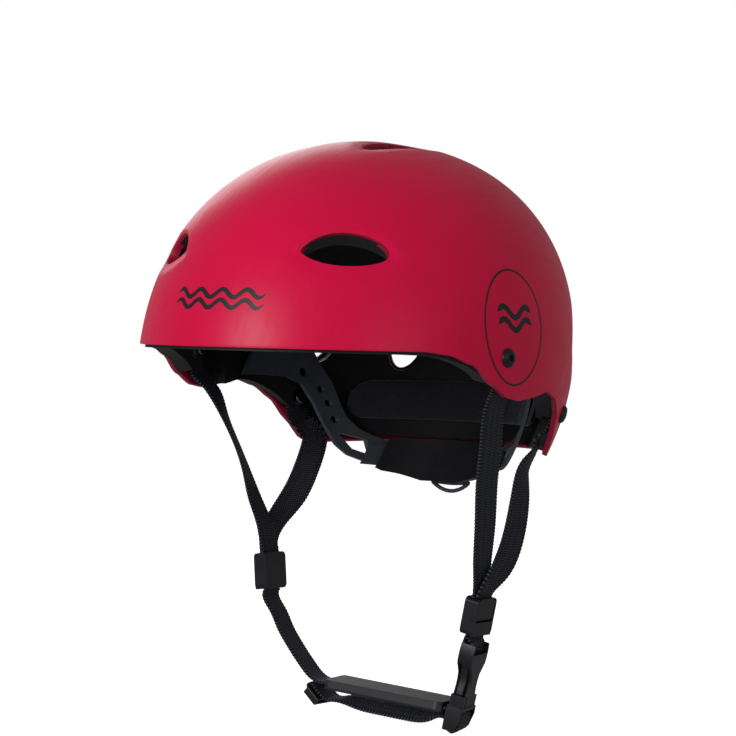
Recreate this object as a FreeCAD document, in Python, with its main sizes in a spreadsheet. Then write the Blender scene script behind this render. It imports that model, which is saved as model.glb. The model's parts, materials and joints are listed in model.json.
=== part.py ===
"""Water sports helmet: hard shell, foam liner, fit cradle, side straps, buckle and chin pad.

Millimetres. +Z is up, the front of the helmet faces -Y and the wearer's left is +X.
The origin is the centre of the head opening at the level of the front brim.
"""
import FreeCAD, Part
import Sketcher
import math
import os

Vector = FreeCAD.Vector
Rotation = FreeCAD.Rotation
Placement = FreeCAD.Placement

SIZES = {
    # hard shell
    "half_width": 115.3,
    "half_length_front": 143.3,
    "half_length_rear": 138.7,
    "crown_height": 120.9,
    "crown_power_front": 2.06,
    "crown_power_rear": 2.25,
    "crown_lean": 0.025,
    "brim_flare": 3.2,
    "brim_flare_height": 61,
    "brim_flare_angle": 65.4,
    "brim_flare_blend": 25,
    "nape_tuck": 13.7,
    "nape_tuck_depth": 60,
    "shell_wall": 3,
    # foam liner and comfort pads
    "liner_gap": 0.2,
    "liner_wall": 10,
    "pad_wall": 5,
    "pad_gap": 0.3,
    # webbing
    "strap_width": 16,
    "strap_wall": 1.8,
    # strap anchors
    "anchor_head_radius": 5.5,
    "anchor_head_height": 2.6,
    "anchor_shank_radius": 2.3,
    "anchor_hole_radius": 2.6,
    "anchor_socket_radius": 1.7,
    "anchor_washer_radius": 5.8,
    "anchor_nut_radius": 3.9,
    # fit cradle
    "cradle_inset": 20,
    "cradle_wall": 2.4,
    "arm_end_x": 38,
    "stud_radius": 2,
    "stud_clearance": 0.06,
    "stud_y": 36,
    "stud_z": 6,
    # side strap dividers
    "divider_width": 20,
    "divider_height": 22,
    "divider_thickness": 9,
    "divider_channel_width": 16.8,
    "divider_floor": 2.4,
    "lever_width": 16.2,
    "lever_wall": 2,
    "lever_axle_radius": 0.8,
    "lever_axle_clearance": 0.06,
    "lever_pivot_x": 3.1,
    "lever_pivot_z": -1.2,
    # buckle
    "buckle_half_thickness": 4.6,
    "buckle_room": 6.4,
    "buckle_room_shift": -0.6,
    "buckle_lean": 13.1,
    "buckle_turn": 7,
    "buckle_mid_x": 71,
    "buckle_mid_y": 11,
    "buckle_mid_z": -183.1,
    "buckle_mouth_drop": 19.2,
    "female_length": 37.5,
    "male_length": 15,
    "male_half_thickness": 4.8,
    "prong_thickness": 4.2,
    "tongue_width": 3,
    "tongue_length": 24,
    # chin pad and keeper
    "chin_pad_length": 83.5,
    "chin_pad_pitch": 3.5,
    "chin_pad_tunnel": 3.4,
    "keeper_width": 20.6,
    "keeper_length": 10.6,
    "keeper_height": 5,
    # fit adjuster
    "tab_width": 30,
    "tab_drop": 7,
    "tab_barrel_radius": 1.7,
    "tab_axle_radius": 1,
}

doc = FreeCAD.newDocument("WaterHelmet")
sheet = doc.addObject("Spreadsheet::Sheet", "Sizes")
for row, (alias, number) in enumerate(SIZES.items(), start=1):
    sheet.set(f"A{row}", alias)
    sheet.set(f"B{row}", str(number))
    sheet.setAlias(f"B{row}", alias)
doc.recompute()


def size(alias):
    """A driving dimension, read back from the sheet."""
    return float(getattr(sheet, alias))


def use(alias, times=1.0, plus=0.0):
    """A dimension as a number with the expression that binds it to the sheet."""
    return size(alias) * times + plus, f"Sizes.{alias} * {times} + {plus}"


def number_of(dimension):
    return dimension[0] if isinstance(dimension, tuple) else dimension


def bind(item, name, dimension):
    """Set a length on an object and keep it bound to the sheet where it has an expression."""
    if isinstance(dimension, tuple):
        item.setExpression(name, dimension[1])
    else:
        setattr(item, name, dimension)


# ---------------------------------------------------------------- shell surface

def smooth(low, high, at):
    t = min(max((at - low) / (high - low), 0.0), 1.0)
    return t * t * (3 - 2 * t)


def shell_radius(angle, z, inset=0.0):
    """Distance of the shell surface from its lean axis. The angle is 0 at the front, 90 at +X."""
    phi = math.radians(angle)
    across = size("half_width") - inset
    along = size("half_length_front") if math.cos(phi) > 0 else size("half_length_rear")
    along -= inset
    crown = size("crown_height") - inset
    plan = 1 / math.hypot(math.sin(phi) / across, math.cos(phi) / along)
    rearward = 0.5 - 0.5 * math.cos(phi)
    power = size("crown_power_front") * (1 - rearward) + size("crown_power_rear") * rearward
    level = min(max(z / crown, 0.0), 1.0)
    dome = (1 - level ** power) ** (1 / power)
    centre = size("brim_flare_angle")
    blend = size("brim_flare_blend")
    front = 1 - smooth(centre - blend, centre + blend, abs(angle))
    flare = min(max(1 - z / size("brim_flare_height"), 0.0), 1.5) ** 2
    tuck = (max(-z, 0.0) / size("nape_tuck_depth")) ** 2
    return plan * dome + size("brim_flare") * front * flare - (1 - front) * size("nape_tuck") * tuck


def shell_point(angle, z, inset=0.0):
    radius = shell_radius(angle, z, inset)
    phi = math.radians(angle)
    return Vector(radius * math.sin(phi), -radius * math.cos(phi) + size("crown_lean") * z, z)


def shell_normal(angle, z):
    """Outward unit normal, from two short steps along the surface."""
    step = 0.5
    sideways = shell_point(angle + step, z) - shell_point(angle - step, z)
    upward = shell_point(angle, z + step) - shell_point(angle, z - step)
    normal = sideways.cross(upward)
    return normal.normalize()


def dome_solid(inset, bottom):
    """Closed dome inside the shell surface, flat at the bottom."""
    crown = size("crown_height") - inset
    levels = [bottom * (1 - step / 5) for step in range(5)]
    levels += [crown * math.sin(math.radians(tilt)) for tilt in range(0, 86, 5)]
    levels.append(crown * math.sin(math.radians(86.5)))
    rows = [[shell_point(angle, z, inset) for angle in range(0, 181, 10)] for z in levels]
    surface = Part.BSplineSurface()
    surface.interpolate(rows)
    left = surface.toShape()
    right = left.mirror(Vector(0, 0, 0), Vector(1, 0, 0))
    caps = []
    for z in (levels[0], levels[-1]):
        rim = [edge for half in (left, right) for edge in half.Edges
               if abs(edge.BoundBox.ZMin - z) < 1e-6 and abs(edge.BoundBox.ZMax - z) < 1e-6]
        caps.append(Part.Face(Part.Wire(rim)))
    skin = Part.makeShell([left, right] + caps)
    skin.sewShape()
    solid = Part.makeSolid(skin)
    if solid.Volume < 0:
        solid.reverse()
    return solid


# Height of the shell's lower edge round the helmet: level front brim, ear lobe, notch, nape drop.
RIM = [(0, 0), (50, 0), (57, -1.6), (65, -7), (72, -17.5), (79, -24.6), (85, -26.3), (92, -24.5),
       (101, -21.3), (108, -25.2), (114, -33), (119, -45.5), (124, -57.6), (128, -60.4), (137, -59.4),
       (150, -58.6), (180, -59)]


def rim_height(angle, lift_front=0.0, lift_side=0.0, lift_rear=0.0):
    """Height of a lower edge that follows the rim, lifted by its own amount at each part."""
    at = min(abs(angle), 360 - abs(angle))
    for (low, z_low), (high, z_high) in zip(RIM, RIM[1:]):
        if at <= high:
            share = smooth(low, high, at) * 0.5 + 0.5 * (at - low) / (high - low)
            height = z_low + (z_high - z_low) * share
            break
    side = smooth(50, 66, at)
    rear = smooth(104, 124, at)
    return height + lift_front * (1 - side) + lift_side * side * (1 - rear) + lift_rear * rear


def below_rim(lift_front, lift_side, lift_rear):
    """Everything under a lower edge, as a ring-shaped solid to cut away."""
    inner_radius, outer_radius, depth = 45, 190, 160
    curves = []
    for radius in (inner_radius, outer_radius):
        points = []
        for angle in range(0, 360, 5):
            turn = angle if angle <= 180 else angle - 360
            phi = math.radians(angle)
            z = rim_height(turn, lift_front, lift_side, lift_rear)
            points.append(Vector(radius * math.sin(phi), -radius * math.cos(phi), z))
        curve = Part.BSplineCurve()
        curve.interpolate(points, PeriodicFlag=True)
        curves.append(curve.toShape())
    return Part.makeRuledSurface(curves[0], curves[1]).extrude(Vector(0, 0, -depth))


# Vents: angle, height, length, width, turn in the surface, sharpness of the inner end.
VENTS = {
    "front": (29.4, 53.7, 47, 18.5, 4.6, 0.95),
    "rear_upper": (150, 66, 46, 16, -12, 0.5),
    "rear_side": (131, 9, 38, 18, 62, 0.5),
    "rear": (157, 8, 42, 20, 72, 0.5),
}
CROWN_VENT = {"x": 22.5, "y": -6.5, "length": 60, "width": 17.5}


def vent_outline(length, width, sharp, grow):
    """Points round a vent: an oval whose first end is drawn to a tip where sharp is near 1."""
    points = []
    steps = 28
    for step in range(steps):
        turn = 2 * math.pi * step / steps
        along = -math.cos(turn)
        power = sharp + (0.5 - sharp) * (along + 1) / 2
        half = (1 - along * along) ** power if abs(along) < 1 else 0.0
        side = math.copysign(half, math.sin(turn)) if half else 0.0
        points.append(Vector(along * (length / 2 + grow), side * (width / 2 + grow), 0))
    return points


def vent_solid(placement, length, width, sharp, grow):
    curve = Part.BSplineCurve()
    curve.interpolate(vent_outline(length, width, sharp, grow), PeriodicFlag=True)
    solid = Part.Face(Part.Wire(curve.toShape())).extrude(Vector(0, 0, 60))
    solid.translate(Vector(0, 0, -30))
    return solid.transformGeometry(placement.toMatrix())


def surface_frame(angle, z):
    """Placement on the shell: local Z outward, local X level towards a larger angle."""
    phi = math.radians(angle)
    normal = shell_normal(angle, z)
    level = Vector(math.cos(phi), math.sin(phi), 0)
    upward = normal.cross(level).normalize()
    level = upward.cross(normal)
    return Placement(shell_point(angle, z), Rotation(level, upward, normal, "ZXY"))


def vent_cutters(grow, closed=()):
    """The vents as one compound of cutters, without those named as closed."""
    solids = []
    for name, (angle, z, length, width, turn, sharp) in VENTS.items():
        if name in closed:
            continue
        spin = Placement(Vector(0, 0, 0), Rotation(Vector(0, 0, 1), turn))
        left = vent_solid(surface_frame(angle, z).multiply(spin), length, width, sharp, grow)
        solids += [left, left.mirror(Vector(0, 0, 0), Vector(1, 0, 0))]
    for side in (-1, 1):
        place = Placement(Vector(side * CROWN_VENT["x"], CROWN_VENT["y"], size("crown_height") - 10),
                          Rotation(Vector(0, 0, 1), 90))
        solids.append(vent_solid(place, CROWN_VENT["length"], CROWN_VENT["width"], 0.5, grow))
    return Part.makeCompound(solids)


# ---------------------------------------------------------------- document helpers

def shape_feature(label, shape):
    item = doc.addObject("Part::Feature", label)
    item.Label = label
    item.Shape = shape
    return item


def boolean(kind, label, base, tool):
    item = doc.addObject(kind, label)
    item.Label = label
    item.Base = base
    item.Tool = tool
    return item


def cut(label, base, tool):
    return boolean("Part::Cut", label, base, tool)


def common(label, base, tool):
    return boolean("Part::Common", label, base, tool)


def compound(label, links):
    item = doc.addObject("Part::Compound", label)
    item.Label = label
    item.Links = links
    return item


def new_body(label, placement=Placement()):
    body = doc.addObject("PartDesign::Body", label)
    body.Label = label
    body.Placement = placement
    return body


def new_sketch(body, role, shift=(0, 0, 0)):
    """Sketch on one of the body's own origin planes, its centre moved by the shift."""
    sketch = body.newObject("Sketcher::SketchObject", body.Name + "_sketch")
    plane = next(item for item in body.Origin.OriginFeatures if item.Role == role)
    sketch.AttachmentSupport = [(plane, "")]
    sketch.MapMode = "FlatFace"
    sketch.AttachmentOffset = Placement(Vector(*[number_of(part) for part in shift]), Rotation())
    for axis, part in zip("xyz", shift):
        if isinstance(part, tuple):
            sketch.setExpression(f"AttachmentOffset.Base.{axis}", part[1])
    return sketch


def outline(sketch, points):
    """Closed polygon whose corners are fixed by dimensions from the sketch's centre."""
    corners = [Vector(number_of(x), number_of(y), 0) for x, y in points]
    first = sketch.GeometryCount
    total = len(corners)
    for index in range(total):
        sketch.addGeometry(Part.LineSegment(corners[index], corners[(index + 1) % total]), False)
    for index in range(total):
        following = first + (index + 1) % total
        sketch.addConstraint(Sketcher.Constraint("Coincident", first + index, 2, following, 1))
    for index, point in enumerate(points):
        for kind, part, placed in zip(("DistanceX", "DistanceY"), point, corners[index]):
            rule = Sketcher.Constraint(kind, -1, 1, first + index, 1, placed)
            constraint = sketch.addConstraint(rule)
            if isinstance(part, tuple):
                sketch.setExpression(f"Constraints[{constraint}]", part[1])


def rectangle(sketch, width, height):
    """Rectangle centred on the sketch's centre."""
    def half(part, sign):
        if isinstance(part, tuple):
            return part[0] * sign / 2, f"({part[1]}) * {sign / 2}"
        return part * sign / 2
    outline(sketch, [(half(width, -1), half(height, -1)), (half(width, 1), half(height, -1)),
                     (half(width, 1), half(height, 1)), (half(width, -1), half(height, 1))])


def circle(sketch, radius):
    item = sketch.addGeometry(Part.Circle(Vector(0, 0, 0), Vector(0, 0, 1), number_of(radius)), False)
    sketch.addConstraint(Sketcher.Constraint("Coincident", item, 3, -1, 1))
    rule = sketch.addConstraint(Sketcher.Constraint("Radius", item, number_of(radius)))
    if isinstance(radius, tuple):
        sketch.setExpression(f"Constraints[{rule}]", radius[1])


def extrude(body, kind, sketch, length, symmetric=True, backward=False):
    """Pad or pocket, checked to have changed the solid's volume."""
    before = body.Shape.Volume if body.Tip else 0.0
    feature = body.newObject("PartDesign::" + kind, kind)
    feature.Profile = sketch
    feature.SideType = "Symmetric" if symmetric else "One side"
    feature.Reversed = backward
    bind(feature, "Length", length)
    sketch.Visibility = False
    doc.recompute()
    grown = body.Shape.Volume - before
    if (kind == "Pad") != (grown > 1e-3) or abs(grown) < 1e-3:
        raise RuntimeError(f"{body.Label}: {kind} changed the volume by {grown:.3f}")
    return feature


def pad(body, sketch, length, symmetric=True, backward=False):
    return extrude(body, "Pad", sketch, length, symmetric, backward)


def pocket(body, sketch, length, symmetric=True, backward=False):
    return extrude(body, "Pocket", sketch, length, symmetric, backward)


def fillet(body, radius, wanted, kind="Fillet"):
    """Round or bevel the edges of the body's tip that the test picks."""
    base = body.Tip
    names = [f"Edge{index}" for index, edge in enumerate(base.Shape.Edges, start=1) if wanted(edge)]
    if not names:
        raise RuntimeError(f"{body.Label}: no edge to round")
    feature = body.newObject("PartDesign::" + kind, kind)
    feature.Base = (base, names)
    bind(feature, "Radius" if kind == "Fillet" else "Size", radius)
    doc.recompute()
    return feature


def runs_along(edge, axis, shortest=0.5):
    """True for a straight edge parallel to a local axis: 0 for X, 1 for Y, 2 for Z."""
    if edge.Curve.TypeId != "Part::GeomLine" or edge.Length < shortest:
        return False
    direction = edge.tangentAt(edge.FirstParameter)
    return abs(direction[axis]) > 0.999


def revolved(label, placement, profile):
    """Body turned about its local Z from a closed profile of radius and height."""
    body = new_body(label, placement)
    sketch = new_sketch(body, "XZ_Plane")
    outline(sketch, profile)
    feature = body.newObject("PartDesign::Revolution", "Revolution")
    feature.Profile = sketch
    feature.ReferenceAxis = (sketch, ["V_Axis"])
    feature.Angle = 360
    sketch.Visibility = False
    doc.recompute()
    return body


def mirrored(label, source):
    """The same piece for the other side of the helmet."""
    item = doc.addObject("Part::Mirroring", label)
    item.Label = label
    item.Source = source
    item.Normal = Vector(1, 0, 0)
    return item


def ruled_face(first, second):
    """Face between two curves that were interpolated with the same parameters."""
    surface = Part.BSplineSurface()
    surface.buildFromPolesMultsKnots([first.getPoles(), second.getPoles()], [2, 2],
                                     first.getMultiplicities(), [0, 1], first.getKnots(),
                                     False, False, 1, first.Degree)
    return surface.toShape()


def through(points, parameters):
    curve = Part.BSplineCurve()
    curve.interpolate(points, Parameters=parameters)
    return curve


def ribbon(stations, width, wall):
    """Flat webbing through stations of centre point and the direction of its width."""
    at_station = [0.0]
    for (before, _), (after, _) in zip(stations, stations[1:]):
        at_station.append(at_station[-1] + (after - before).Length)
    centres = through([point for point, _ in stations], at_station)
    borders = through([point + across * (width / 2) for point, across in stations], at_station)
    samples = [0.0]
    for before, after in zip(at_station, at_station[1:]):
        steps = max(2, math.ceil((after - before) / 4))
        samples += [before + (after - before) * step / steps for step in range(1, steps + 1)]
    corners = [[], [], [], []]
    for sample in samples:
        point = centres.value(sample)
        along = Vector(*centres.tangent(sample)[0])
        outward = (borders.value(sample) - point).cross(along).normalize()
        across = along.cross(outward).normalize()
        signs = ((-1, -1), (1, -1), (1, 1), (-1, 1))
        for track, (side, face) in zip(corners, signs):
            track.append(point + across * (side * width / 2) + outward * (face * wall / 2))
    curves = [through(track, samples) for track in corners]
    faces = [ruled_face(curves[index], curves[(index + 1) % 4]) for index in range(4)]
    for end in (0, -1):
        loop = [track[end] for track in corners]
        faces.append(Part.Face(Part.makePolygon(loop + [loop[0]])))
    skin = Part.makeShell(faces)
    skin.sewShape()
    solid = Part.makeSolid(skin)
    if solid.Volume < 0:
        solid.reverse()
    return solid


def level_direction(angle):
    """Direction in plan at an angle from +X towards +Y."""
    turn = math.radians(angle)
    return Vector(math.cos(turn), math.sin(turn), 0)


subparts = []

# ---------------------------------------------------------------- shell, liner and pads

ANCHORS = {"front": (77.8, -2.4), "rear": (122.6, -35)}
SHELL_BOTTOM = -72

vents = shape_feature("vent_cutters", vent_cutters(0))
liner_vents = shape_feature("liner_vent_cutters", vent_cutters(1.5, closed=("rear_upper",)))


def anchor_frame(name, side):
    angle, z = ANCHORS[name]
    return surface_frame(side * angle, z)


def placed(shape, place):
    shape.Placement = place.multiply(shape.Placement)
    return shape


def anchor_cylinders(radius, depth):
    """A cylinder at each of the four strap anchors, along the screw."""
    return Part.makeCompound([placed(Part.makeCylinder(radius, 2 * depth, Vector(0, 0, -depth)),
                                     anchor_frame(name, side))
                              for name in ANCHORS for side in (-1, 1)])


# Blocks cut from the liner at the anchors: anchor, shift to the rear, width, low, high, depth.
POCKETS = [("front", 3.5, 32, -40, 13, 26), ("rear", 3, 28, -31, -6, 26), ("rear", 0, 22, -7, 11, 9.6)]


def pocket_blocks():
    """Room in the liner for webbing, washers and nuts, as compounds of separate blocks."""
    layers = [anchor_cylinders(6.9, 13)]
    for name, rearward, width, low, high, depth in POCKETS:
        blocks = []
        for side in (-1, 1):
            corner = Vector(side * rearward - width / 2, low, -depth)
            block = Part.makeBox(width, high - low, depth, corner)
            blocks.append(placed(block, anchor_frame(name, side)))
        layers.append(Part.makeCompound(blocks))
    return layers


def dome_between(label, outer_inset, inner_inset, bottom):
    outer = shape_feature(label + "_outside", dome_solid(outer_inset, bottom))
    inner = shape_feature(label + "_inside", dome_solid(inner_inset, bottom - 5))
    return cut(label, outer, inner)


shell_blank = dome_between("shell_blank", 0, size("shell_wall"), SHELL_BOTTOM)
shell_trim = shape_feature("shell_rim_trim", below_rim(0, 0, 0))
shell_trimmed = cut("shell_trimmed", shell_blank, shell_trim)
shell_vented = cut("shell_vented", shell_trimmed, vents)
screw_holes = shape_feature("screw_holes", anchor_cylinders(size("anchor_hole_radius"), 8))
outer_shell = cut("outer_shell", shell_vented, screw_holes)
subparts.append(outer_shell)

liner_outside = size("shell_wall") + size("liner_gap")
liner_inside = liner_outside + size("liner_wall")
liner_blank = dome_between("liner_blank", liner_outside, liner_inside, SHELL_BOTTOM)
liner_bored = liner_blank
for count, layer in enumerate(pocket_blocks(), start=1):
    liner_bored = cut(f"liner_bored_{count}", liner_bored, shape_feature(f"liner_room_{count}", layer))
stud_bar = Part.makeCylinder(size("stud_radius") + size("stud_clearance"), 240,
                             Vector(-120, size("stud_y"), size("stud_z")), Vector(1, 0, 0))
liner_drilled = cut("liner_drilled", liner_bored, shape_feature("stud_bar", stud_bar))
liner_trim = shape_feature("liner_rim_trim", below_rim(-1.8, 1.5, 4))
liner_trimmed = cut("liner_trimmed", liner_drilled, liner_trim)
foam_liner = cut("foam_liner", liner_trimmed, liner_vents)
subparts.append(foam_liner)

pad_outside = liner_inside + size("pad_gap")
pad_inside = pad_outside + size("pad_wall")
pad_blank = dome_between("pad_blank", pad_outside, pad_inside, SHELL_BOTTOM)


def rounded_prism(axis, centre, width, height, radius, low, high):
    """Rounded rectangle, extruded between two positions along Y or Z."""
    block = Part.makeBox(width, height, high - low, Vector(-width / 2, -height / 2, low))
    upright = [edge for edge in block.Edges if runs_along(edge, 2)]
    block = block.makeFillet(radius, upright)
    if axis == "Y":
        block.rotate(Vector(0, 0, 0), Vector(1, 0, 0), 90)
        block.mirror(Vector(0, 0, 0), Vector(0, 1, 0))
        block.translate(Vector(centre[0], 0, centre[1]))
    else:
        block.translate(Vector(centre[0], centre[1], 0))
    return block


PADS = {
    "brow_pad": ("Y", (0, 18), 150, 28, 12, 60, 150),
    "crown_pad": ("Z", (0, 2), 20, 96, 9.5, 60, 130),
    "rear_pad": ("Y", (0, -32), 138, 27, 11, -150, -50),
}
for name, (axis, centre, width, height, radius, low, high) in PADS.items():
    block = shape_feature(name + "_block", rounded_prism(axis, centre, width, height, radius, low, high))
    subparts.append(common(name, pad_blank, block))

# ---------------------------------------------------------------- strap anchors

head_radius = use("anchor_head_radius")
socket_radius = use("anchor_socket_radius")
shank_radius = use("anchor_shank_radius")
nut_radius = use("anchor_nut_radius")
washer_radius = use("anchor_washer_radius")
SCREW_END = -10.6
NUT_FACE = -7.1
NUT_END = -12

screw_profile = [(0, SCREW_END), (shank_radius, SCREW_END), (shank_radius, 0.05), (head_radius, 0.05),
                 (use("anchor_head_radius", 1, -0.4), 1.1),
                 (use("anchor_head_radius", 0.76), use("anchor_head_height", 1, -0.5)),
                 (use("anchor_head_radius", 0.45), use("anchor_head_height")),
                 (socket_radius, use("anchor_head_height", 1, -0.1)),
                 (socket_radius, 0.9), (0, 0.9)]
nut_profile = [(use("anchor_shank_radius", 1, 0.15), NUT_FACE), (use("anchor_nut_radius", 1, 2), NUT_FACE),
               (use("anchor_nut_radius", 1, 2), NUT_FACE - 1), (nut_radius, NUT_FACE - 1),
               (nut_radius, NUT_END + 0.6), (use("anchor_nut_radius", 1, -0.6), NUT_END), (0, NUT_END),
               (0, SCREW_END - 0.4), (use("anchor_shank_radius", 1, 0.15), SCREW_END - 0.4)]
washer_profile = [(use("anchor_hole_radius"), -6.9), (washer_radius, -6.9), (washer_radius, -5.9),
                  (use("anchor_hole_radius"), -5.9)]

washers = []
for name in ANCHORS:
    screws = []
    nuts = []
    for side, word in ((1, "left"), (-1, "right")):
        place = anchor_frame(name, side)
        screws.append(revolved(f"{name}_screw_{word}", place, screw_profile))
        nuts.append(revolved(f"{name}_nut_{word}", place, nut_profile))
        washers.append(revolved(f"{name}_washer_{word}", place, washer_profile))
    subparts.append(compound(f"{name}_anchor_screws", screws))
    subparts.append(compound(f"{name}_anchor_nuts", nuts))
subparts.append(compound("anchor_washers", washers))

# ---------------------------------------------------------------- side straps

DIVIDERS = {"left": (76, 11.4, -150, 11), "right": (-76.3, 14.7, -136, 5)}
LAYERS = {"front": -1.05, "rear": 0.87}


def divider_frame(word):
    """Local X away from the head, local Z up the strap, leaning outward."""
    x, y, z, lean = DIVIDERS[word]
    upright = Rotation(Vector(0, 1, 0), lean if word == "left" else -lean)
    facing = Rotation() if word == "left" else Rotation(Vector(0, 0, 1), 180)
    return Placement(Vector(x, y, z), upright.multiply(facing))


def in_divider(word, layer, height):
    return divider_frame(word).multVec(Vector(layer, 0, height))


# Course of the webbing at its anchor: distance down from the screw, depth under the shell surface.
ANCHOR_PATHS = {
    "front": [(-8, 4.7), (-4, 4.6), (0, 4.6), (4, 4.6), (8, 4.8), (12, 5.5), (16, 6.7)],
    "rear": [(-8, 4.6), (-4, 4.6), (0, 4.6), (4, 4.6), (8, 4.7), (10.4, 5.3), (12.8, 6.6), (15.6, 8.8)],
}
ANCHOR_LEANS = {"front": 14, "rear": 0}
ANCHOR_TURNS = {"front": 82, "rear": 113.6}


def anchor_run(name, side):
    """Points of the webbing where it lies under its anchor screw and leaves the shell."""
    lean = math.radians(ANCHOR_LEANS[name])
    place = anchor_frame(name, side)
    return [place.multVec(Vector(side * math.sin(lean) * down, -math.cos(lean) * down, -depth))
            for down, depth in ANCHOR_PATHS[name]]


# Hanging part of each strap: centre point and direction of the width in plan.
STRAP_RUNS = {
    ("front", "left"): [(103.2, -18.2, -26.2, 80), (96.6, -12.5, -49.1, 74), (90.5, -6, -73.2, 74),
                        (85.3, 1.5, -97.6, 77), (80.2, 7.8, -118.1, 84), (78.3, 10.4, -128, 88)],
    ("rear", "left"): [(83.4, 57.8, -54, 114), (81.5, 50, -66, 102), (83.5, 42, -80, 86),
                       (85.6, 34.5, -98, 74), (85.6, 29, -111, 72), (84.4, 21.5, -123, 77),
                       (81.8, 14.5, -132, 87)],
    ("front", "right"): [(-102.2, -16.8, -24.7, -84), (-95.5, -9.8, -42, -66), (-90.2, -4.2, -59, -60),
                         (-86.2, 0.8, -75, -66), (-82.5, 5.4, -92, -80), (-77.8, 9.6, -108, -87),
                         (-77, 12.4, -117, -90)],
    ("rear", "right"): [(-81.5, 61, -53, -124), (-76.8, 56, -63, -130), (-74.6, 46, -76, -136),
                        (-75, 36, -90, -126), (-79.6, 26, -104, -108), (-81, 19, -115, -96)],
}
strap_width = size("strap_width")
strap_wall = size("strap_wall")


def divider_turn(word):
    return 90 if word == "left" else -90


def strap_stations(name, word):
    side = 1 if word == "left" else -1
    turn = level_direction(side * ANCHOR_TURNS[name])
    stations = [(point, turn) for point in anchor_run(name, side)]
    stations += [(Vector(x, y, z), level_direction(turn)) for x, y, z, turn in STRAP_RUNS[name, word]]
    layer = LAYERS[name]
    ends = {"left": -10.9, "right": -11}
    for height in (9, 4, -2, -7, ends[word]):
        stations.append((in_divider(word, layer, height), level_direction(divider_turn(word))))
    return stations


def buckle_frame():
    """Local origin at the mouth of the socket, local Z up the buckle, local X away from the head."""
    lean = Rotation(Vector(0, 1, 0), size("buckle_lean"))
    turn = lean.multiply(Rotation(Vector(0, 0, 1), size("buckle_turn")))
    middle = Vector(size("buckle_mid_x"), size("buckle_mid_y"), size("buckle_mid_z"))
    return Placement(middle - turn.multVec(Vector(0, 0, size("buckle_mouth_drop"))), turn)


def in_buckle(x, z, y=0.0):
    return buckle_frame().multVec(Vector(x, y, z))


def buckle_across(rise=0.0):
    """Direction of the webbing's width in the buckle, its rear edge lifted by an angle."""
    tilt = math.radians(rise)
    return buckle_frame().Rotation.multVec(Vector(0, math.cos(tilt), math.sin(tilt)))


BAR_HEIGHT = 36.4
BAR_SHIFT = -1.45
BAR_HALF = 1.1
BAR_WRAP = 2.75


def bar_turn():
    """The left webbing below its divider: down, round the bar of the socket and up again."""
    stations = []
    for turn in (0, 45, 90, 135, 180):
        outward = BAR_SHIFT - BAR_WRAP * math.cos(math.radians(turn))
        drop = BAR_WRAP * math.sin(math.radians(turn))
        stations.append((in_buckle(outward, BAR_HEIGHT - drop), buckle_across()))
    for height in (-13, -11.6):
        stations.append((in_divider("left", LAYERS["rear"], height), Vector(0, 1, 0)))
    return stations


for name, word in STRAP_RUNS:
    side = 1 if word == "left" else -1
    stations = strap_stations(name, word)
    if (name, word) == ("front", "left"):
        stations += bar_turn()
    blank = shape_feature(f"strap_{name}_{word}_blank", ribbon(stations, strap_width, strap_wall))
    hole = Part.makeCylinder(size("anchor_hole_radius"), 16, Vector(0, 0, -16))
    hole = hole.transformGeometry(anchor_frame(name, side).toMatrix())
    subparts.append(cut(f"strap_{name}_{word}", blank, shape_feature(f"strap_{name}_{word}_hole", hole)))

# ---------------------------------------------------------------- dividers and their levers

half_thickness = use("divider_thickness", 0.5)
channel_low = use("divider_floor", 1, -size("divider_thickness") / 2)


def make_divider(word):
    body = new_body(f"divider_{word}", divider_frame(word))
    block = new_sketch(body, "XY_Plane")
    rectangle(block, use("divider_thickness"), use("divider_width"))
    pad(body, block, use("divider_height"))
    fillet(body, 3, lambda edge: runs_along(edge, 0))
    channel = new_sketch(body, "XY_Plane")
    half_channel = size("divider_channel_width") / 2
    outline(channel, [(channel_low, -half_channel), (half_thickness, -half_channel),
                      (half_thickness, half_channel), (channel_low, half_channel)])
    pocket(body, channel, use("divider_height", 1, 2))
    bridge = new_sketch(body, "YZ_Plane", (0, -7, use("divider_thickness", 0.5, -2.1)))
    rectangle(bridge, use("divider_width", 1, -1), 8)
    pad(body, bridge, 2.1, symmetric=False)
    axle = new_sketch(body, "XZ_Plane", (use("lever_pivot_x"), use("lever_pivot_z"), 0))
    circle(axle, use("lever_axle_radius", 1, size("lever_axle_clearance")))
    pocket(body, axle, use("divider_width", 1, 2))
    return body


def make_lever(word):
    """Closed lever: a plate over the upper channel with a hinge barrel and two stub axles."""
    body = new_body(f"divider_lever_{word}", divider_frame(word))
    plate = new_sketch(body, "YZ_Plane", (0, 5, use("divider_thickness", 0.5, -0.1)))
    rectangle(plate, use("lever_width"), 11.6)
    pad(body, plate, use("lever_wall"), symmetric=False, backward=True)
    fillet(body, 2.4, lambda edge: runs_along(edge, 0) and edge.BoundBox.ZMin > 8)
    barrel = new_sketch(body, "XZ_Plane", (use("lever_pivot_x"), use("lever_pivot_z"), 0))
    circle(barrel, 1.1)
    pad(body, barrel, use("lever_width"))
    axle = new_sketch(body, "XZ_Plane", (use("lever_pivot_x"), use("lever_pivot_z"), 0))
    circle(axle, use("lever_axle_radius"))
    pad(body, axle, use("divider_width", 1, -0.6))
    return body


for word in DIVIDERS:
    subparts.append(make_divider(word))
    subparts.append(make_lever(word))

# ---------------------------------------------------------------- side-release buckle

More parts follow.
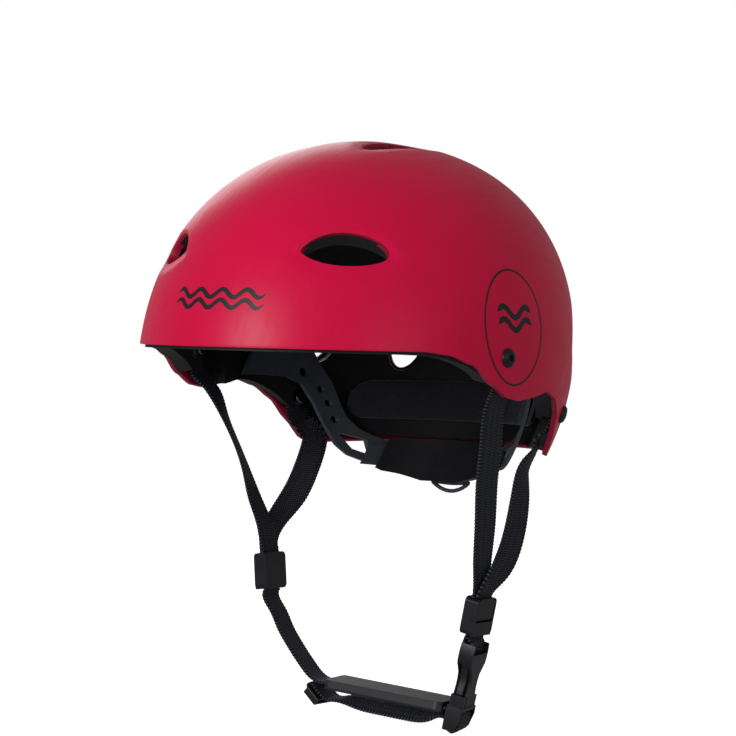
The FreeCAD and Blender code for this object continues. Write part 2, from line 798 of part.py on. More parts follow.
# Outlines of one side as distance from the middle and height above the mouth.
FEMALE_SIDE = [(4.9, 0), (4.7, 7), (4.1, 11), (4.1, 15), (4.9, 19), (7.4, 22.6), (9.1, 25), (9.7, 28),
               (9.7, 33)]
PRONG_SIDE = [(4.2, 6.6), (7.2, 6.6), (6.9, 10), (6, 14), (6, 18), (7.1, 22), (8, 24.6), (7.9, 26.4),
              (6.4, 28.2), (5, 28.2), (5.1, 24), (4.1, 19), (3.8, 14), (4, 10)]
SLOT = 1.4


def inner_and_outer(thickness, rest):
    """Middles of the two layers cut away to leave only the given thickness."""
    layer = (thickness - rest) / 2
    return layer, (rest + layer) / 2


def make_buckle_female():
    """Socket: two plates joined by side walls at the top, a strap bar above, open sides below."""
    body = new_body("buckle_female", buckle_frame())
    block = new_sketch(body, "YZ_Plane")
    right = FEMALE_SIDE + [(8.8, use("female_length"))]
    outline(block, right + [(-y, z) for y, z in reversed(right)])
    pad(body, block, use("buckle_half_thickness", 2))
    fillet(body, 1.2, lambda edge: runs_along(edge, 0) and edge.BoundBox.ZMin > 35)
    shift = use("buckle_room_shift")
    for width, height, middle in ((24, 25, 12.5), (16.8, 6, 26.8)):
        room = new_sketch(body, "YZ_Plane", (0, middle, shift))
        rectangle(room, width, height)
        pocket(body, room, use("buckle_room"))
    slot = new_sketch(body, "YZ_Plane", (0, use("female_length", 1, -4.2), 0))
    rectangle(slot, use("strap_width", 1, SLOT), 4)
    pocket(body, slot, 12)
    surface = size("buckle_half_thickness") + 0.02
    for low, high in ((-surface, BAR_SHIFT - BAR_HALF), (BAR_SHIFT + BAR_HALF, surface)):
        face = new_sketch(body, "XZ_Plane", ((low + high) / 2, use("female_length", 1, -2), 0))
        rectangle(face, high - low, 5)
        pocket(body, face, use("strap_width", 1, SLOT))
    return body


def make_buckle_male():
    """Plug: ladder lock below, two ears and a guide tongue above."""
    body = new_body("buckle_male", buckle_frame())
    base = new_sketch(body, "YZ_Plane")
    outline(base, [(-9.2, -0.4), (-9.8, -7), (-9.4, use("male_length", -1)), (8.9, -13.4), (9.8, -6),
                   (9.2, -0.4)])
    pad(body, base, use("male_half_thickness", 2))
    tongue = new_sketch(body, "YZ_Plane", (0, use("tongue_length", 0.5, -0.4), 0))
    rectangle(tongue, use("tongue_width"), use("tongue_length", 1, 0.8))
    pad(body, tongue, 3.2)
    for side in (-1, 1):
        ear = new_sketch(body, "YZ_Plane", (side * 6.7, 2.7, 0))
        rectangle(ear, 2.8, 7)
        pad(body, ear, use("buckle_half_thickness", 2, -0.4))
    for height, reach in ((-3.9, 3), (-9.7, 3)):
        slot = new_sketch(body, "YZ_Plane", (0, height, 0))
        rectangle(slot, use("strap_width", 1, SLOT), reach)
        pocket(body, slot, 14)
    layer, middle = inner_and_outer(2 * size("male_half_thickness"), 2.8)
    for side in (-1, 1):
        face = new_sketch(body, "XZ_Plane", (side * middle, -10, 0))
        rectangle(face, layer + 0.02, 15.2)
        pocket(body, face, use("strap_width", 1, SLOT))
    end = new_sketch(body, "YZ_Plane", (0, -15, 0))
    rectangle(end, use("strap_width", 1, SLOT), 3.6)
    pocket(body, end, 14)
    taper = new_sketch(body, "XZ_Plane")
    outline(taper, [(5.5, -5), (4.8, -5), (2.6, -16), (5.5, -16)])
    pocket(body, taper, 30)
    return body


def make_prong(word, side):
    body = new_body(f"buckle_prong_{word}", buckle_frame())
    profile = new_sketch(body, "YZ_Plane")
    outline(profile, [(side * y, z) for y, z in PRONG_SIDE])
    pad(body, profile, use("prong_thickness"))
    return body


subparts.append(make_buckle_female())
subparts.append(make_buckle_male())
subparts.append(make_prong("front", -1))
subparts.append(make_prong("rear", 1))

# ---------------------------------------------------------------- chin strap, pad and keeper

CHIN_HINGE = Vector(-75.2, 14.5, -148.8)
PAD_MIDDLE = Vector(18.3, 10, -200.8)
KEEPER_MIDDLE = Vector(-32.8, 10.2, -206.3)
KEEPER_FALL = 42
TAIL_FOLD = 1.8
LOCK_FOLD = 2.95
# points of the tail between ladder lock and keeper, and how far its front edge tips down in degrees
TAIL_RUN = [(58.4, 10.6, -208.6, 6), (50, 10.2, -209.9, 14), (34, 10, -211, 20),
            (16, 10, -209.9, 20), (-2, 10, -208.6, 16), (-16, 10.1, -207.3, 6)]


def falling(angle):
    """Direction towards the buckle that drops by an angle."""
    return Vector(math.cos(math.radians(angle)), 0, -math.sin(math.radians(angle)))


def in_keeper(along, above):
    """Point from the keeper's middle: along the webbing and square to it, upward."""
    line = falling(KEEPER_FALL)
    return KEEPER_MIDDLE + line * along + Vector(-line.z, 0, line.x) * above


def chin_stations():
    """The chin webbing: down from the divider, through pad and ladder lock, tail back to its fold."""
    level = Vector(0, 1, 0)
    pad_line = falling(size("chin_pad_pitch"))
    run = [CHIN_HINGE, Vector(-69.6, 13.8, -158.8), Vector(-62.5, 12.9, -169.2),
           Vector(-55.6, 12.1, -177.4), Vector(-49.1, 11.3, -184.1), Vector(-42.8, 10.7, -190.2),
           Vector(-37, 10.3, -195.1), Vector(-31, 10.1, -197.7)]
    run += [PAD_MIDDLE + pad_line * along for along in (-43, -30, -15, 0, 15, 30, 39)]
    stations = [(point, level) for point in run]
    lock = [(-5.6, -3.8, 0), (0, -3.9, 0), (1.5, -4.1, 0), (2.6, -5.2, 0), (3, -7, 1), (3, -9.4, 3)]
    for turn in (15, 55, 90, 125, 165):
        outward = LOCK_FOLD * math.cos(math.radians(turn))
        drop = LOCK_FOLD * math.sin(math.radians(turn))
        lock.append((outward, -12.2 - drop, 4))
    lock += [(-3.6, -10.2, 3)]
    stations += [(in_buckle(x, z), buckle_across(rise)) for x, z, rise in lock]
    for x, y, z, tip in TAIL_RUN:
        tilt = math.radians(tip)
        stations.append((Vector(x, y, z), Vector(0, math.cos(tilt), math.sin(tilt))))
    tail = [in_keeper(6.6, 4.6), in_keeper(2.5, 3.9), in_keeper(-2, 1.9 + TAIL_FOLD)]
    for turn in (0, 45, 90, 135, 180):
        back = TAIL_FOLD * math.sin(math.radians(turn))
        rise = TAIL_FOLD * math.cos(math.radians(turn))
        tail.append(in_keeper(-5.5 - back, 1.9 + rise))
    tail += [in_keeper(-2.6, 1.9 - TAIL_FOLD), in_keeper(1.5, 1.9 - TAIL_FOLD)]
    return stations + [(point, level) for point in tail]


subparts.append(shape_feature("chin_strap", ribbon(chin_stations(), strap_width, strap_wall)))


def make_chin_pad():
    place = Placement(PAD_MIDDLE, Rotation(Vector(0, 1, 0), size("chin_pad_pitch")))
    body = new_body("chin_pad", place)
    profile = new_sketch(body, "YZ_Plane")
    outline(profile, [(-10.8, -2.9), (10.6, -2.9), (12, 0.8), (11.4, 2.9), (9.5, 3.6), (0, 3.1),
                      (-10.9, 2.9), (-12.3, -1.4)])
    pad(body, profile, use("chin_pad_length"))
    ends = size("chin_pad_length") / 2 - 1
    fillet(body, 5, lambda edge: edge.Curve.TypeId == "Part::GeomLine" and edge.BoundBox.XLength < 1e-3
           and edge.BoundBox.ZLength > 1.9 and abs(edge.BoundBox.XMin) > ends)
    tunnel = new_sketch(body, "YZ_Plane")
    rectangle(tunnel, use("strap_width", 1, 1), use("chin_pad_tunnel"))
    pocket(body, tunnel, use("chin_pad_length", 1, 10))
    return body


def make_keeper():
    """Slider held in the folded end of the webbing tail."""
    place = Placement(KEEPER_MIDDLE, Rotation(Vector(0, 1, 0), KEEPER_FALL))
    body = new_body("strap_keeper", place)
    block = new_sketch(body, "YZ_Plane")
    rectangle(block, use("keeper_width"), use("keeper_height"))
    pad(body, block, use("keeper_length"))
    fillet(body, 0.9, lambda edge: runs_along(edge, 0))
    opening = new_sketch(body, "YZ_Plane", (0, 0.1, 0))
    rectangle(opening, use("strap_width", 1, 1.2), 2.4)
    pocket(body, opening, use("keeper_length", 1, 2))
    return body


subparts.append(make_chin_pad())
subparts.append(make_keeper())

# ---------------------------------------------------------------- fit cradle

cradle_inset = size("cradle_inset")
cradle_wall = size("cradle_wall")
CRADLE_BOTTOM = -96
ARM_OUTLINE = [(4, -17.6), (24, -18), (40, -19), (49.8, -23.4), (55.7, -35.1), (58.7, -47.9), (61.6, -60.4),
               (66, -66.6), (72.8, -70.2), (84, -72.2), (104, -73), (104, -60), (92, -59), (85, -56.4), (77, -50.6),
               (72.6, -43.5), (69, -22.6), (60, -5.4), (52, 10), (45, 17), (29, 17), (19, 6)]
ARM_WINDOW = [(64.8, -53), (78.5, -56.8), (77, -66.4), (69, -62.6)]
ARM_HOLES = [(51.7, -16, 3), (61.2, -26.4, 2.3), (64.3, -35, 2.3), (65.4, -44.8, 2.3)]


def side_prism(points, low, high):
    """Outline in the side view, extruded outward between two distances from the middle."""
    corners = [Vector(low, y, z) for y, z in points]
    face = Part.Face(Part.makePolygon(corners + [corners[0]]))
    return face.extrude(Vector(high - low, 0, 0))


def arm_holes():
    reach = 130
    holes = [Part.makeCylinder(radius, reach, Vector(0, y, z), Vector(1, 0, 0)) for y, z, radius in ARM_HOLES]
    stud_hole = size("stud_radius") + size("stud_clearance")
    pivot = Vector(0, size("stud_y"), size("stud_z"))
    holes.append(Part.makeCylinder(stud_hole, reach, pivot, Vector(1, 0, 0)))
    holes.append(side_prism(ARM_WINDOW, 0, reach))
    return Part.makeCompound(holes)


arm_blank = dome_between("arm_blank", cradle_inset, cradle_inset + cradle_wall, CRADLE_BOTTOM)
arm_prism = shape_feature("arm_prism", side_prism(ARM_OUTLINE, size("arm_end_x"), 130))
arm_plate = common("arm_plate", arm_blank, arm_prism)
fit_arm_left = cut("fit_arm_left", arm_plate, shape_feature("arm_holes", arm_holes()))
subparts.append(fit_arm_left)
subparts.append(mirrored("fit_arm_right", fit_arm_left))

stud_head = 4.6
stud_x = 87
studs = []
for side, word in ((1, "left"), (-1, "right")):
    turn = Rotation(Vector(0, 1, 0), 90 * side)
    place = Placement(Vector(side * stud_x, size("stud_y"), size("stud_z")), turn)
    studs.append(revolved(f"arm_stud_{word}", place,
                          [(0, -1.8), (stud_head - 1, -1.8), (stud_head, -0.8), (stud_head, 0),
                           (use("stud_radius"), 0), (use("stud_radius"), 17), (0, 17)]))
subparts.append(compound("arm_studs", studs))


def rear_block(points, low, high):
    """Outline in the rear view, extruded backward between two distances."""
    corners = [Vector(x, low, z) for x, z in points]
    face = Part.Face(Part.makePolygon(corners + [corners[0]]))
    return face.extrude(Vector(0, high - low, 0))


def both_sides(points):
    return points + [(-x, z) for x, z in reversed(points)]


TAB_AT = Vector(0, 95, -79)
LUG = {"inner": 8.4, "outer": 10.6}
band_blank = dome_between("band_blank", cradle_inset + cradle_wall + 0.25, cradle_inset + 2 * cradle_wall + 0.25,
                          CRADLE_BOTTOM)
band_block = shape_feature("band_block", rear_block(both_sides([(49, -59.5), (49, -71.5), (30, -73.5),
                                                                (14, -75.5)]), 40, 130))
band_plate = common("band_plate", band_blank, band_block)


def band_lugs():
    """Two lugs under the band that carry the adjuster tab, bored for its axle."""
    lugs = []
    for side in (-1, 1):
        low = min(side * LUG["inner"], side * LUG["outer"])
        corner = Vector(low, TAB_AT.y - 4, TAB_AT.z - 2.2)
        lug = Part.makeBox(LUG["outer"] - LUG["inner"], 6.2, 8.6, corner)
        lugs.append(lug)
    bore = Part.makeCylinder(size("tab_axle_radius") + 0.06, 40, TAB_AT - Vector(20, 0, 0), Vector(1, 0, 0))
    return [lug.cut(bore) for lug in lugs]


band_lug_shape = shape_feature("band_lugs", Part.makeCompound(band_lugs()))
nape_band = boolean("Part::Fuse", "nape_band", band_plate, band_lug_shape)
subparts.append(nape_band)

SLEEVE_EDGE = [(38, -55.2), (39.5, -73.4), (36, -75.2), (27, -76.8), (13, -80.4)]
sleeve_outer = dome_between("sleeve_outer", 17.6, 29.4, CRADLE_BOTTOM)
sleeve_block = shape_feature("sleeve_block", rear_block(both_sides(SLEEVE_EDGE), 40, 130))
sleeve_solid = common("sleeve_solid", sleeve_outer, sleeve_block)
sleeve_room = dome_between("sleeve_room", 19.6, 26.2, CRADLE_BOTTOM)
room_edge = [(70, -57.3), (70, -73.8), (30, -74.8), (14, -76.4)]
room_block = shape_feature("sleeve_room_block", rear_block(both_sides(room_edge), 40, 130))
sleeve_hollow = common("sleeve_hollow", sleeve_room, room_block)
sleeve_tube = cut("sleeve_tube", sleeve_solid, sleeve_hollow)
lug_slot = shape_feature("lug_slot", Part.makeBox(34, 10, 12.5, Vector(-17, TAB_AT.y - 4.9, TAB_AT.z - 6)))
nape_sleeve = cut("nape_sleeve", sleeve_tube, lug_slot)
subparts.append(nape_sleeve)


def make_adjuster_tab():
    """Loop-shaped pull tab that hangs from the lugs."""
    body = new_body("adjuster_tab", Placement(TAB_AT, Rotation()))
    plate = new_sketch(body, "XZ_Plane", (0, use("tab_drop", -0.5, -2.4), 0))
    rectangle(plate, use("tab_width"), use("tab_drop", 1, -1.2))
    pad(body, plate, 3)
    fillet(body, 3, lambda edge: runs_along(edge, 1) and edge.BoundBox.ZMin < -8)
    window = new_sketch(body, "XZ_Plane", (0, use("tab_drop", -0.5, -2.6), 0))
    rectangle(window, use("tab_width", 1, -9), 3.2)
    pocket(body, window, 6)
    neck = new_sketch(body, "XZ_Plane", (0, -1.6, 0))
    rectangle(neck, 15.6, 3.4)
    pad(body, neck, 3)
    barrel = new_sketch(body, "YZ_Plane")
    circle(barrel, use("tab_barrel_radius"))
    pad(body, barrel, 15.6)
    axle = new_sketch(body, "YZ_Plane")
    circle(axle, use("tab_axle_radius"))
    pad(body, axle, 20.8)
    return body


subparts.append(make_adjuster_tab())

# ---------------------------------------------------------------- check and export

doc.recompute()
for item in doc.Objects:
    if "Invalid" in item.State or "Error" in item.State:
        raise RuntimeError(f"{item.Label} failed: {item.State}")
os.makedirs("parts", exist_ok=True)
for item in subparts:
    shape = item.Shape
    if shape.isNull() or not shape.isValid() or shape.Volume <= 0:
        raise RuntimeError(f"{item.Label} has no valid solid")
    print(f"{item.Label:22s} solids {len(shape.Solids)} volume {shape.Volume / 1000:.2f} cm3")
    shape.exportStep(f"parts/{item.Label}.step")
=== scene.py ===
"""Looks of the water helmet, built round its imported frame. Lengths in the helpers are millimetres."""
import json
import math
import bmesh
import bpy
import numpy as np
from mathutils import Matrix, Vector

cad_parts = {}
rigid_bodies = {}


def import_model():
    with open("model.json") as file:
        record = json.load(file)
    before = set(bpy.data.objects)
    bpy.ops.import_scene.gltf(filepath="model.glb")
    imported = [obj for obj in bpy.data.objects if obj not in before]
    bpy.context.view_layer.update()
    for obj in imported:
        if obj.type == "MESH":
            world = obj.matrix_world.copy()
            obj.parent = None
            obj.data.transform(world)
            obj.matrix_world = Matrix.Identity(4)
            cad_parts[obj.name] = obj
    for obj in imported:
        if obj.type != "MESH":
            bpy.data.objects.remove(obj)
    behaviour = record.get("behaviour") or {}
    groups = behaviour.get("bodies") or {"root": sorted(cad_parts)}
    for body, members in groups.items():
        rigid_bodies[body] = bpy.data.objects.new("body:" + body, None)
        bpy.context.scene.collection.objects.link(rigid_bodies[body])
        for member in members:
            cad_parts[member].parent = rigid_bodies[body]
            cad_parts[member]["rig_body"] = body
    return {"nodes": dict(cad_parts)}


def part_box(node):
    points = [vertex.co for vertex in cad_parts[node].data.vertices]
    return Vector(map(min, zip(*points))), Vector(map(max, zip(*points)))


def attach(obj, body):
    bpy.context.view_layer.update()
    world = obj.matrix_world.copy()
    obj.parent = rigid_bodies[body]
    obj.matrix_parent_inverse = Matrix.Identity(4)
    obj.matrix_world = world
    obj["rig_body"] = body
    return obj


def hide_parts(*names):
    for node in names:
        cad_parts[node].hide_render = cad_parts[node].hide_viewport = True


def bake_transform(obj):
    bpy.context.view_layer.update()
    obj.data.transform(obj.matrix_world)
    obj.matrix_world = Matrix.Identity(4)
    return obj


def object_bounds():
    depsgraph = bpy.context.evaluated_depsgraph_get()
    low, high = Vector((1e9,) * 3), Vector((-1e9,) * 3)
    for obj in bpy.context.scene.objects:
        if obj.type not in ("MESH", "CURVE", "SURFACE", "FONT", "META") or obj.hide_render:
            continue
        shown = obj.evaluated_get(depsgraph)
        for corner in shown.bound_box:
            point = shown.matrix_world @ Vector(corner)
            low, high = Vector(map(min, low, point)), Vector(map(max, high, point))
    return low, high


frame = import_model()
cad_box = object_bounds()
nodes = frame["nodes"]
MM = 0.001

# ---------------------------------------------------------------- camera

AZIMUTH, ELEVATION, ROLL = map(math.radians, (35.226, 0.4, 1.471))
DISTANCE, FOCAL_LENGTH, SENSOR_WIDTH = 1.4694, 123.07, 36
back = Vector((math.sin(AZIMUTH) * math.cos(ELEVATION), -math.cos(AZIMUTH) * math.cos(ELEVATION),
               math.sin(ELEVATION)))
level = Vector((math.cos(AZIMUTH), math.sin(AZIMUTH), 0))
upward = back.cross(level)
right = level * math.cos(ROLL) + upward * math.sin(ROLL)
upward = upward * math.cos(ROLL) - level * math.sin(ROLL)
lens = bpy.data.cameras.new("camera")
lens.lens = FOCAL_LENGTH
lens.sensor_width = SENSOR_WIDTH
lens.shift_x = 0.0044
lens.shift_y = -0.0260
camera = bpy.data.objects.new("camera", lens)
bpy.context.scene.collection.objects.link(camera)
facing = Matrix((right, upward, back)).transposed().to_4x4()
camera.matrix_world = Matrix.Translation(back * DISTANCE) @ facing
bpy.context.scene.camera = camera
bpy.context.scene.view_settings.view_transform = "Standard"

# ---------------------------------------------------------------- materials


class Paint:
    """A Principled material with short calls for the nodes that feed it."""

    # Places of the colour sockets on a mix node.
    MIX_FACTOR, MIX_FIRST, MIX_SECOND, MIX_RESULT = 0, 6, 7, 2

    def __init__(self, name, **sockets):
        self.material = bpy.data.materials.new(name)
        self.material.use_nodes = True
        self.tree = self.material.node_tree
        self.shader = self.tree.nodes["Principled BSDF"]
        for socket, value in sockets.items():
            self.shader.inputs[socket.replace("_", " ")].default_value = value

    def feed(self, socket, value):
        if isinstance(value, bpy.types.NodeSocket):
            self.tree.links.new(value, socket)
        else:
            socket.default_value = value

    def node(self, kind, settings=None, **inputs):
        made = self.tree.nodes.new(kind)
        for name, value in (settings or {}).items():
            setattr(made, name, value)
        for name, value in inputs.items():
            self.feed(made.inputs[name.replace("_", " ")], value)
        return made

    def maths(self, operation, first, second=0.0, third=0.0):
        made = self.tree.nodes.new("ShaderNodeMath")
        made.operation = operation
        for socket, value in zip(made.inputs, (first, second, third)):
            self.feed(socket, value)
        return made.outputs[0]

    def wave(self, value, pitch):
        """A sine of a value, one turn for each pitch."""
        return self.maths("SINE", self.maths("MULTIPLY", value, 2 * math.pi / pitch))

    def place(self):
        return self.node("ShaderNodeTexCoord").outputs["Object"]

    def noise(self, scale, detail=2.0, vector=None, roughness=0.5):
        made = self.node("ShaderNodeTexNoise", Scale=scale, Detail=detail, Roughness=roughness)
        self.feed(made.inputs["Vector"], vector or self.place())
        return made.outputs["Fac"]

    def cells(self, scale, feature="F1", vector=None):
        made = self.node("ShaderNodeTexVoronoi", {"feature": feature}, Scale=scale)
        self.feed(made.inputs["Vector"], vector or self.place())
        return made.outputs["Distance"]

    def span(self, value, low, high, to_low, to_high):
        made = self.node("ShaderNodeMapRange", Value=value)
        for name, number in (("From Min", low), ("From Max", high), ("To Min", to_low), ("To Max", to_high)):
            made.inputs[name].default_value = number
        return made.outputs["Result"]

    def tint(self, factor, first, second):
        """Base colour that runs from the first colour to the second with a factor."""
        mixed = self.node("ShaderNodeMix", {"data_type": "RGBA"})
        self.feed(mixed.inputs[self.MIX_FACTOR], factor)
        mixed.inputs[self.MIX_FIRST].default_value = (*first, 1)
        mixed.inputs[self.MIX_SECOND].default_value = (*second, 1)
        self.feed(self.shader.inputs["Base Color"], mixed.outputs[self.MIX_RESULT])

    def rough(self, factor, low, high):
        self.feed(self.shader.inputs["Roughness"], self.span(factor, 0, 1, low, high))

    def bump(self, height, distance, strength=1.0):
        made = self.node("ShaderNodeBump", Height=height, Distance=distance * MM, Strength=strength)
        self.feed(self.shader.inputs["Normal"], made.outputs["Normal"])


def shell_paint():
    paint = Paint("shell_crimson", Specular_IOR_Level=0.22)
    paint.tint(paint.span(paint.noise(9, 3), 0.35, 0.65, 0, 1), (0.68, 0.0010, 0.052), (0.74, 0.0018, 0.060))
    scuffs = paint.noise(260, 4, paint.node("ShaderNodeMapping", Vector=paint.place(),
                                            Scale=(1, 0.12, 0.3)).outputs["Vector"])
    paint.rough(paint.span(scuffs, 0.45, 0.75, 0, 1), 0.36, 0.44)
    paint.bump(paint.noise(1400, 2), 0.02, 0.35)
    return paint.material


# A darker copy of the shell's crimson: painted shade on the vent walls, the cut rim and the band inside the
# rim.
def shell_painted_shade_paint():
    paint = Paint("shell_edge_painted_shade", Specular_IOR_Level=0.4)
    paint.tint(paint.noise(80, 3), (0.30, 0.0018, 0.03), (0.42, 0.003, 0.045))
    paint.rough(paint.noise(300), 0.4, 0.6)
    return paint.material


def foam_paint():
    paint = Paint("liner_foam", Specular_IOR_Level=0.32)
    beads = paint.cells(330, "F1")
    paint.tint(paint.noise(40, 4), (0.006, 0.006, 0.008), (0.011, 0.011, 0.014))
    paint.rough(paint.noise(120, 3), 0.5, 0.68)
    grain = paint.maths("MULTIPLY", paint.noise(2600, 2), 0.4)
    paint.bump(paint.maths("ADD", paint.maths("POWER", beads, 2.0), grain), 0.14, 0.5)
    return paint.material


def plastic_paint(name, dark, pale, low, high, grain=0.05):
    paint = Paint(name, Specular_IOR_Level=0.35)
    paint.tint(paint.span(paint.noise(60, 4), 0.3, 0.7, 0, 1), dark, pale)
    paint.rough(paint.noise(500, 3), low, high)
    sparks = paint.cells(1700, "SMOOTH_F1")
    paint.bump(paint.maths("ADD", sparks, paint.noise(4000, 2)), grain, 0.5)
    return paint.material


def metal_paint():
    paint = Paint("black_oxide_steel", Metallic=0.85)
    paint.tint(paint.noise(700, 3), (0.018, 0.018, 0.02), (0.05, 0.05, 0.055))
    paint.rough(paint.noise(900, 3), 0.28, 0.45)
    paint.bump(paint.noise(2500, 2), 0.02, 0.5)
    return paint.material


def bright_metal_paint():
    paint = Paint("bright_steel", Metallic=1.0)
    paint.tint(paint.noise(500, 3), (0.10, 0.10, 0.11), (0.17, 0.17, 0.18))
    paint.rough(paint.noise(900, 3), 0.22, 0.4)
    paint.bump(paint.noise(3000, 2), 0.02, 0.4)
    return paint.material


# Webbing: width, spacing of the twill and of the ribs in the edges, and the seam between middle and edge.
WIDTH, TWILL_PITCH, RIB_PITCH = 16.0, 1.6, 2.1
SEAM_START, SEAM_END = 6.0, 6.3


def webbing_paint():
    """Herringbone weave between two ribbed edges, laid out by the webbing's own length and width; its colour
    follows the weave's height as painted highlight and painted shade.
    """
    paint = Paint("webbing", Specular_IOR_Level=0.2, Sheen_Weight=0.08, Sheen_Roughness=0.4,
                  Sheen_Tint=(0.5, 0.54, 0.7, 1))
    spread = paint.node("ShaderNodeSeparateXYZ", Vector=paint.node("ShaderNodeTexCoord").outputs["UV"])
    along, across = spread.outputs["X"], spread.outputs["Y"]
    zigzag = paint.maths("PINGPONG", paint.maths("ADD", across, 0.1), 2.0)
    phase = paint.maths("ADD", along, paint.maths("MULTIPLY", zigzag, 0.8))
    twill = paint.span(paint.wave(phase, TWILL_PITCH), -0.6, 0.8, 0, 1)
    ribs = paint.span(paint.wave(along, RIB_PITCH), -0.4, 0.8, 0, 1)
    from_middle = paint.maths("ABSOLUTE", paint.maths("SUBTRACT", across, WIDTH / 2))
    edge = paint.span(from_middle, SEAM_START, SEAM_END, 0, 1)
    from_seam = paint.maths("ABSOLUTE", paint.maths("SUBTRACT", from_middle, (SEAM_START + SEAM_END) / 2))
    groove = paint.span(from_seam, 0, 0.3, 0, 1)
    height = paint.maths("ADD", paint.maths("MULTIPLY", twill, paint.maths("SUBTRACT", 1.0, edge)),
                         paint.maths("MULTIPLY", ribs, paint.maths("MULTIPLY", edge, 1.6)))
    height = paint.maths("MULTIPLY", height, paint.span(groove, 0, 1, 0.1, 1))
    fuzz = paint.noise(2600, 3)
    # Colour from the weave's height: painted highlight on the raised twill and ribs, painted shade in the low
    # weave and the seam's groove; the fuzz adds a random tone.
    paint.tint(paint.maths("MULTIPLY", height, paint.span(fuzz, 0.3, 0.7, 0.35, 1.25)),
               (0.0018, 0.0018, 0.0025), (0.056, 0.058, 0.078))
    paint.rough(fuzz, 0.5, 0.75)
    paint.bump(paint.maths("ADD", height, paint.maths("MULTIPLY", fuzz, 0.25)), 0.3, 1.0)
    return paint.material


def fabric_paint():
    paint = Paint("pad_fabric", Specular_IOR_Level=0.25, Sheen_Weight=0.5, Sheen_Roughness=0.5,
                  Sheen_Tint=(0.6, 0.62, 0.7, 1))
    knit = paint.cells(1500, "SMOOTH_F1")
    paint.tint(paint.maths("MULTIPLY", knit, paint.span(paint.noise(90, 4), 0.3, 0.7, 0.7, 1.3)),
               (0.010, 0.010, 0.013), (0.028, 0.028, 0.034))
    paint.rough(paint.noise(300, 3), 0.7, 0.9)
    paint.bump(paint.maths("ADD", knit, paint.noise(2500, 3)), 0.16, 0.7)
    return paint.material


def rubber_paint():
    paint = Paint("chin_rubber", Specular_IOR_Level=0.5)
    paint.tint(paint.noise(50, 4), (0.006, 0.0065, 0.009), (0.013, 0.014, 0.019))
    paint.rough(paint.noise(400, 3), 0.42, 0.6)
    paint.bump(paint.maths("ADD", paint.cells(900, "SMOOTH_F1"), paint.noise(2500, 2)), 0.1, 0.6)
    return paint.material


def print_paint():
    paint = Paint("print_black", Specular_IOR_Level=0.4)
    paint.tint(paint.noise(200, 3), (0.006, 0.005, 0.006), (0.014, 0.010, 0.012))
    paint.rough(paint.noise(600, 3), 0.35, 0.5)
    return paint.material


SHELL, SHELL_PAINTED_SHADE, FOAM = shell_paint(), shell_painted_shade_paint(), foam_paint()
METAL, BRIGHT, WEBBING = metal_paint(), bright_metal_paint(), webbing_paint()
FABRIC, RUBBER, PRINT = fabric_paint(), rubber_paint(), print_paint()
BUCKLE = plastic_paint("buckle_plastic", (0.005, 0.005, 0.007), (0.011, 0.010, 0.015), 0.3, 0.44)
CRADLE = plastic_paint("cradle_plastic", (0.042, 0.049, 0.060), (0.062, 0.071, 0.086), 0.36, 0.5, 0.07)
SLEEVE = plastic_paint("sleeve_plastic", (0.008, 0.008, 0.011), (0.014, 0.014, 0.019), 0.45, 0.6, 0.1)

# ---------------------------------------------------------------- mesh helpers


def mesh_piece(name, points, faces, material, uvs=None):
    """A smooth mesh from points in millimetres; uvs gives one pair per point of each face."""
    mesh = bpy.data.meshes.new(name)
    mesh.from_pydata((np.asarray(points, float) * MM).tolist(), [], [list(map(int, f)) for f in faces])
    mesh.update()
    mesh.shade_smooth()
    mesh.materials.append(material)
    if uvs is not None:
        layer = mesh.uv_layers.new(name="UVMap")
        layer.data.foreach_set("uv", np.asarray(uvs, np.float32).ravel())
    piece = bpy.data.objects.new(name, mesh)
    bpy.context.scene.collection.objects.link(piece)
    return piece


def bake(piece):
    """Apply the modifiers of a piece to its mesh."""
    graph = bpy.context.evaluated_depsgraph_get()
    mesh = bpy.data.meshes.new_from_object(piece.evaluated_get(graph))
    piece.modifiers.clear()
    piece.data = mesh
    return piece


def stand_for(piece, node):
    """Let a piece ride with the body of a CAD piece and take its place."""
    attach(piece, nodes[node]["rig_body"])
    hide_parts(node)
    return piece


# Points closer than this, in metres, are one point; edges with less turn than this, in radians, are flat.
WELD, FLAT_ANGLE = 2e-6, 0.002


def clear_normals(mesh):
    """Drop the stored corner normals of a mesh."""
    holder = bpy.data.objects.new("holder", mesh)
    bpy.context.scene.collection.objects.link(holder)
    bpy.context.view_layer.objects.active = holder
    bpy.ops.mesh.customdata_custom_splitnormals_clear()
    bpy.data.objects.remove(holder)


def welded(mesh):
    """An editable copy of a mesh with its doubled points joined."""
    work = bmesh.new()
    work.from_mesh(mesh)
    bmesh.ops.remove_doubles(work, verts=work.verts, dist=WELD)
    return work


def remade(node, material, bevel=0.3, segments=2, limit=34):
    """A copy of a CAD piece with rounded edges and shading of its own, in place of the CAD piece."""
    mesh = nodes[node].data.copy()
    if mesh.has_custom_normals:
        clear_normals(mesh)
    work = welded(mesh)
    flat = [edge for edge in work.edges if len(edge.link_faces) == 2 and edge.calc_face_angle(0) < FLAT_ANGLE]
    bmesh.ops.dissolve_edges(work, edges=flat, use_verts=False)
    for edge in work.edges:
        edge.smooth = len(edge.link_faces) != 2 or edge.calc_face_angle(0) < math.radians(limit)
    for face in work.faces:
        face.smooth = True
    work.to_mesh(mesh)
    work.free()
    mesh.materials.clear()
    mesh.materials.append(material)
    piece = bpy.data.objects.new(node + "_look", mesh)
    bpy.context.scene.collection.objects.link(piece)
    if bevel:
        cut = piece.modifiers.new("edges", "BEVEL")
        cut.width = bevel * MM
        cut.segments = segments
        cut.limit_method = "ANGLE"
        cut.angle_limit = math.radians(limit)
        cut.harden_normals = False
        cut.use_clamp_overlap = True
        normals = piece.modifiers.new("normals", "WEIGHTED_NORMAL")
        normals.keep_sharp = True
    return stand_for(bake(piece), node)


# ---------------------------------------------------------------- shell surface

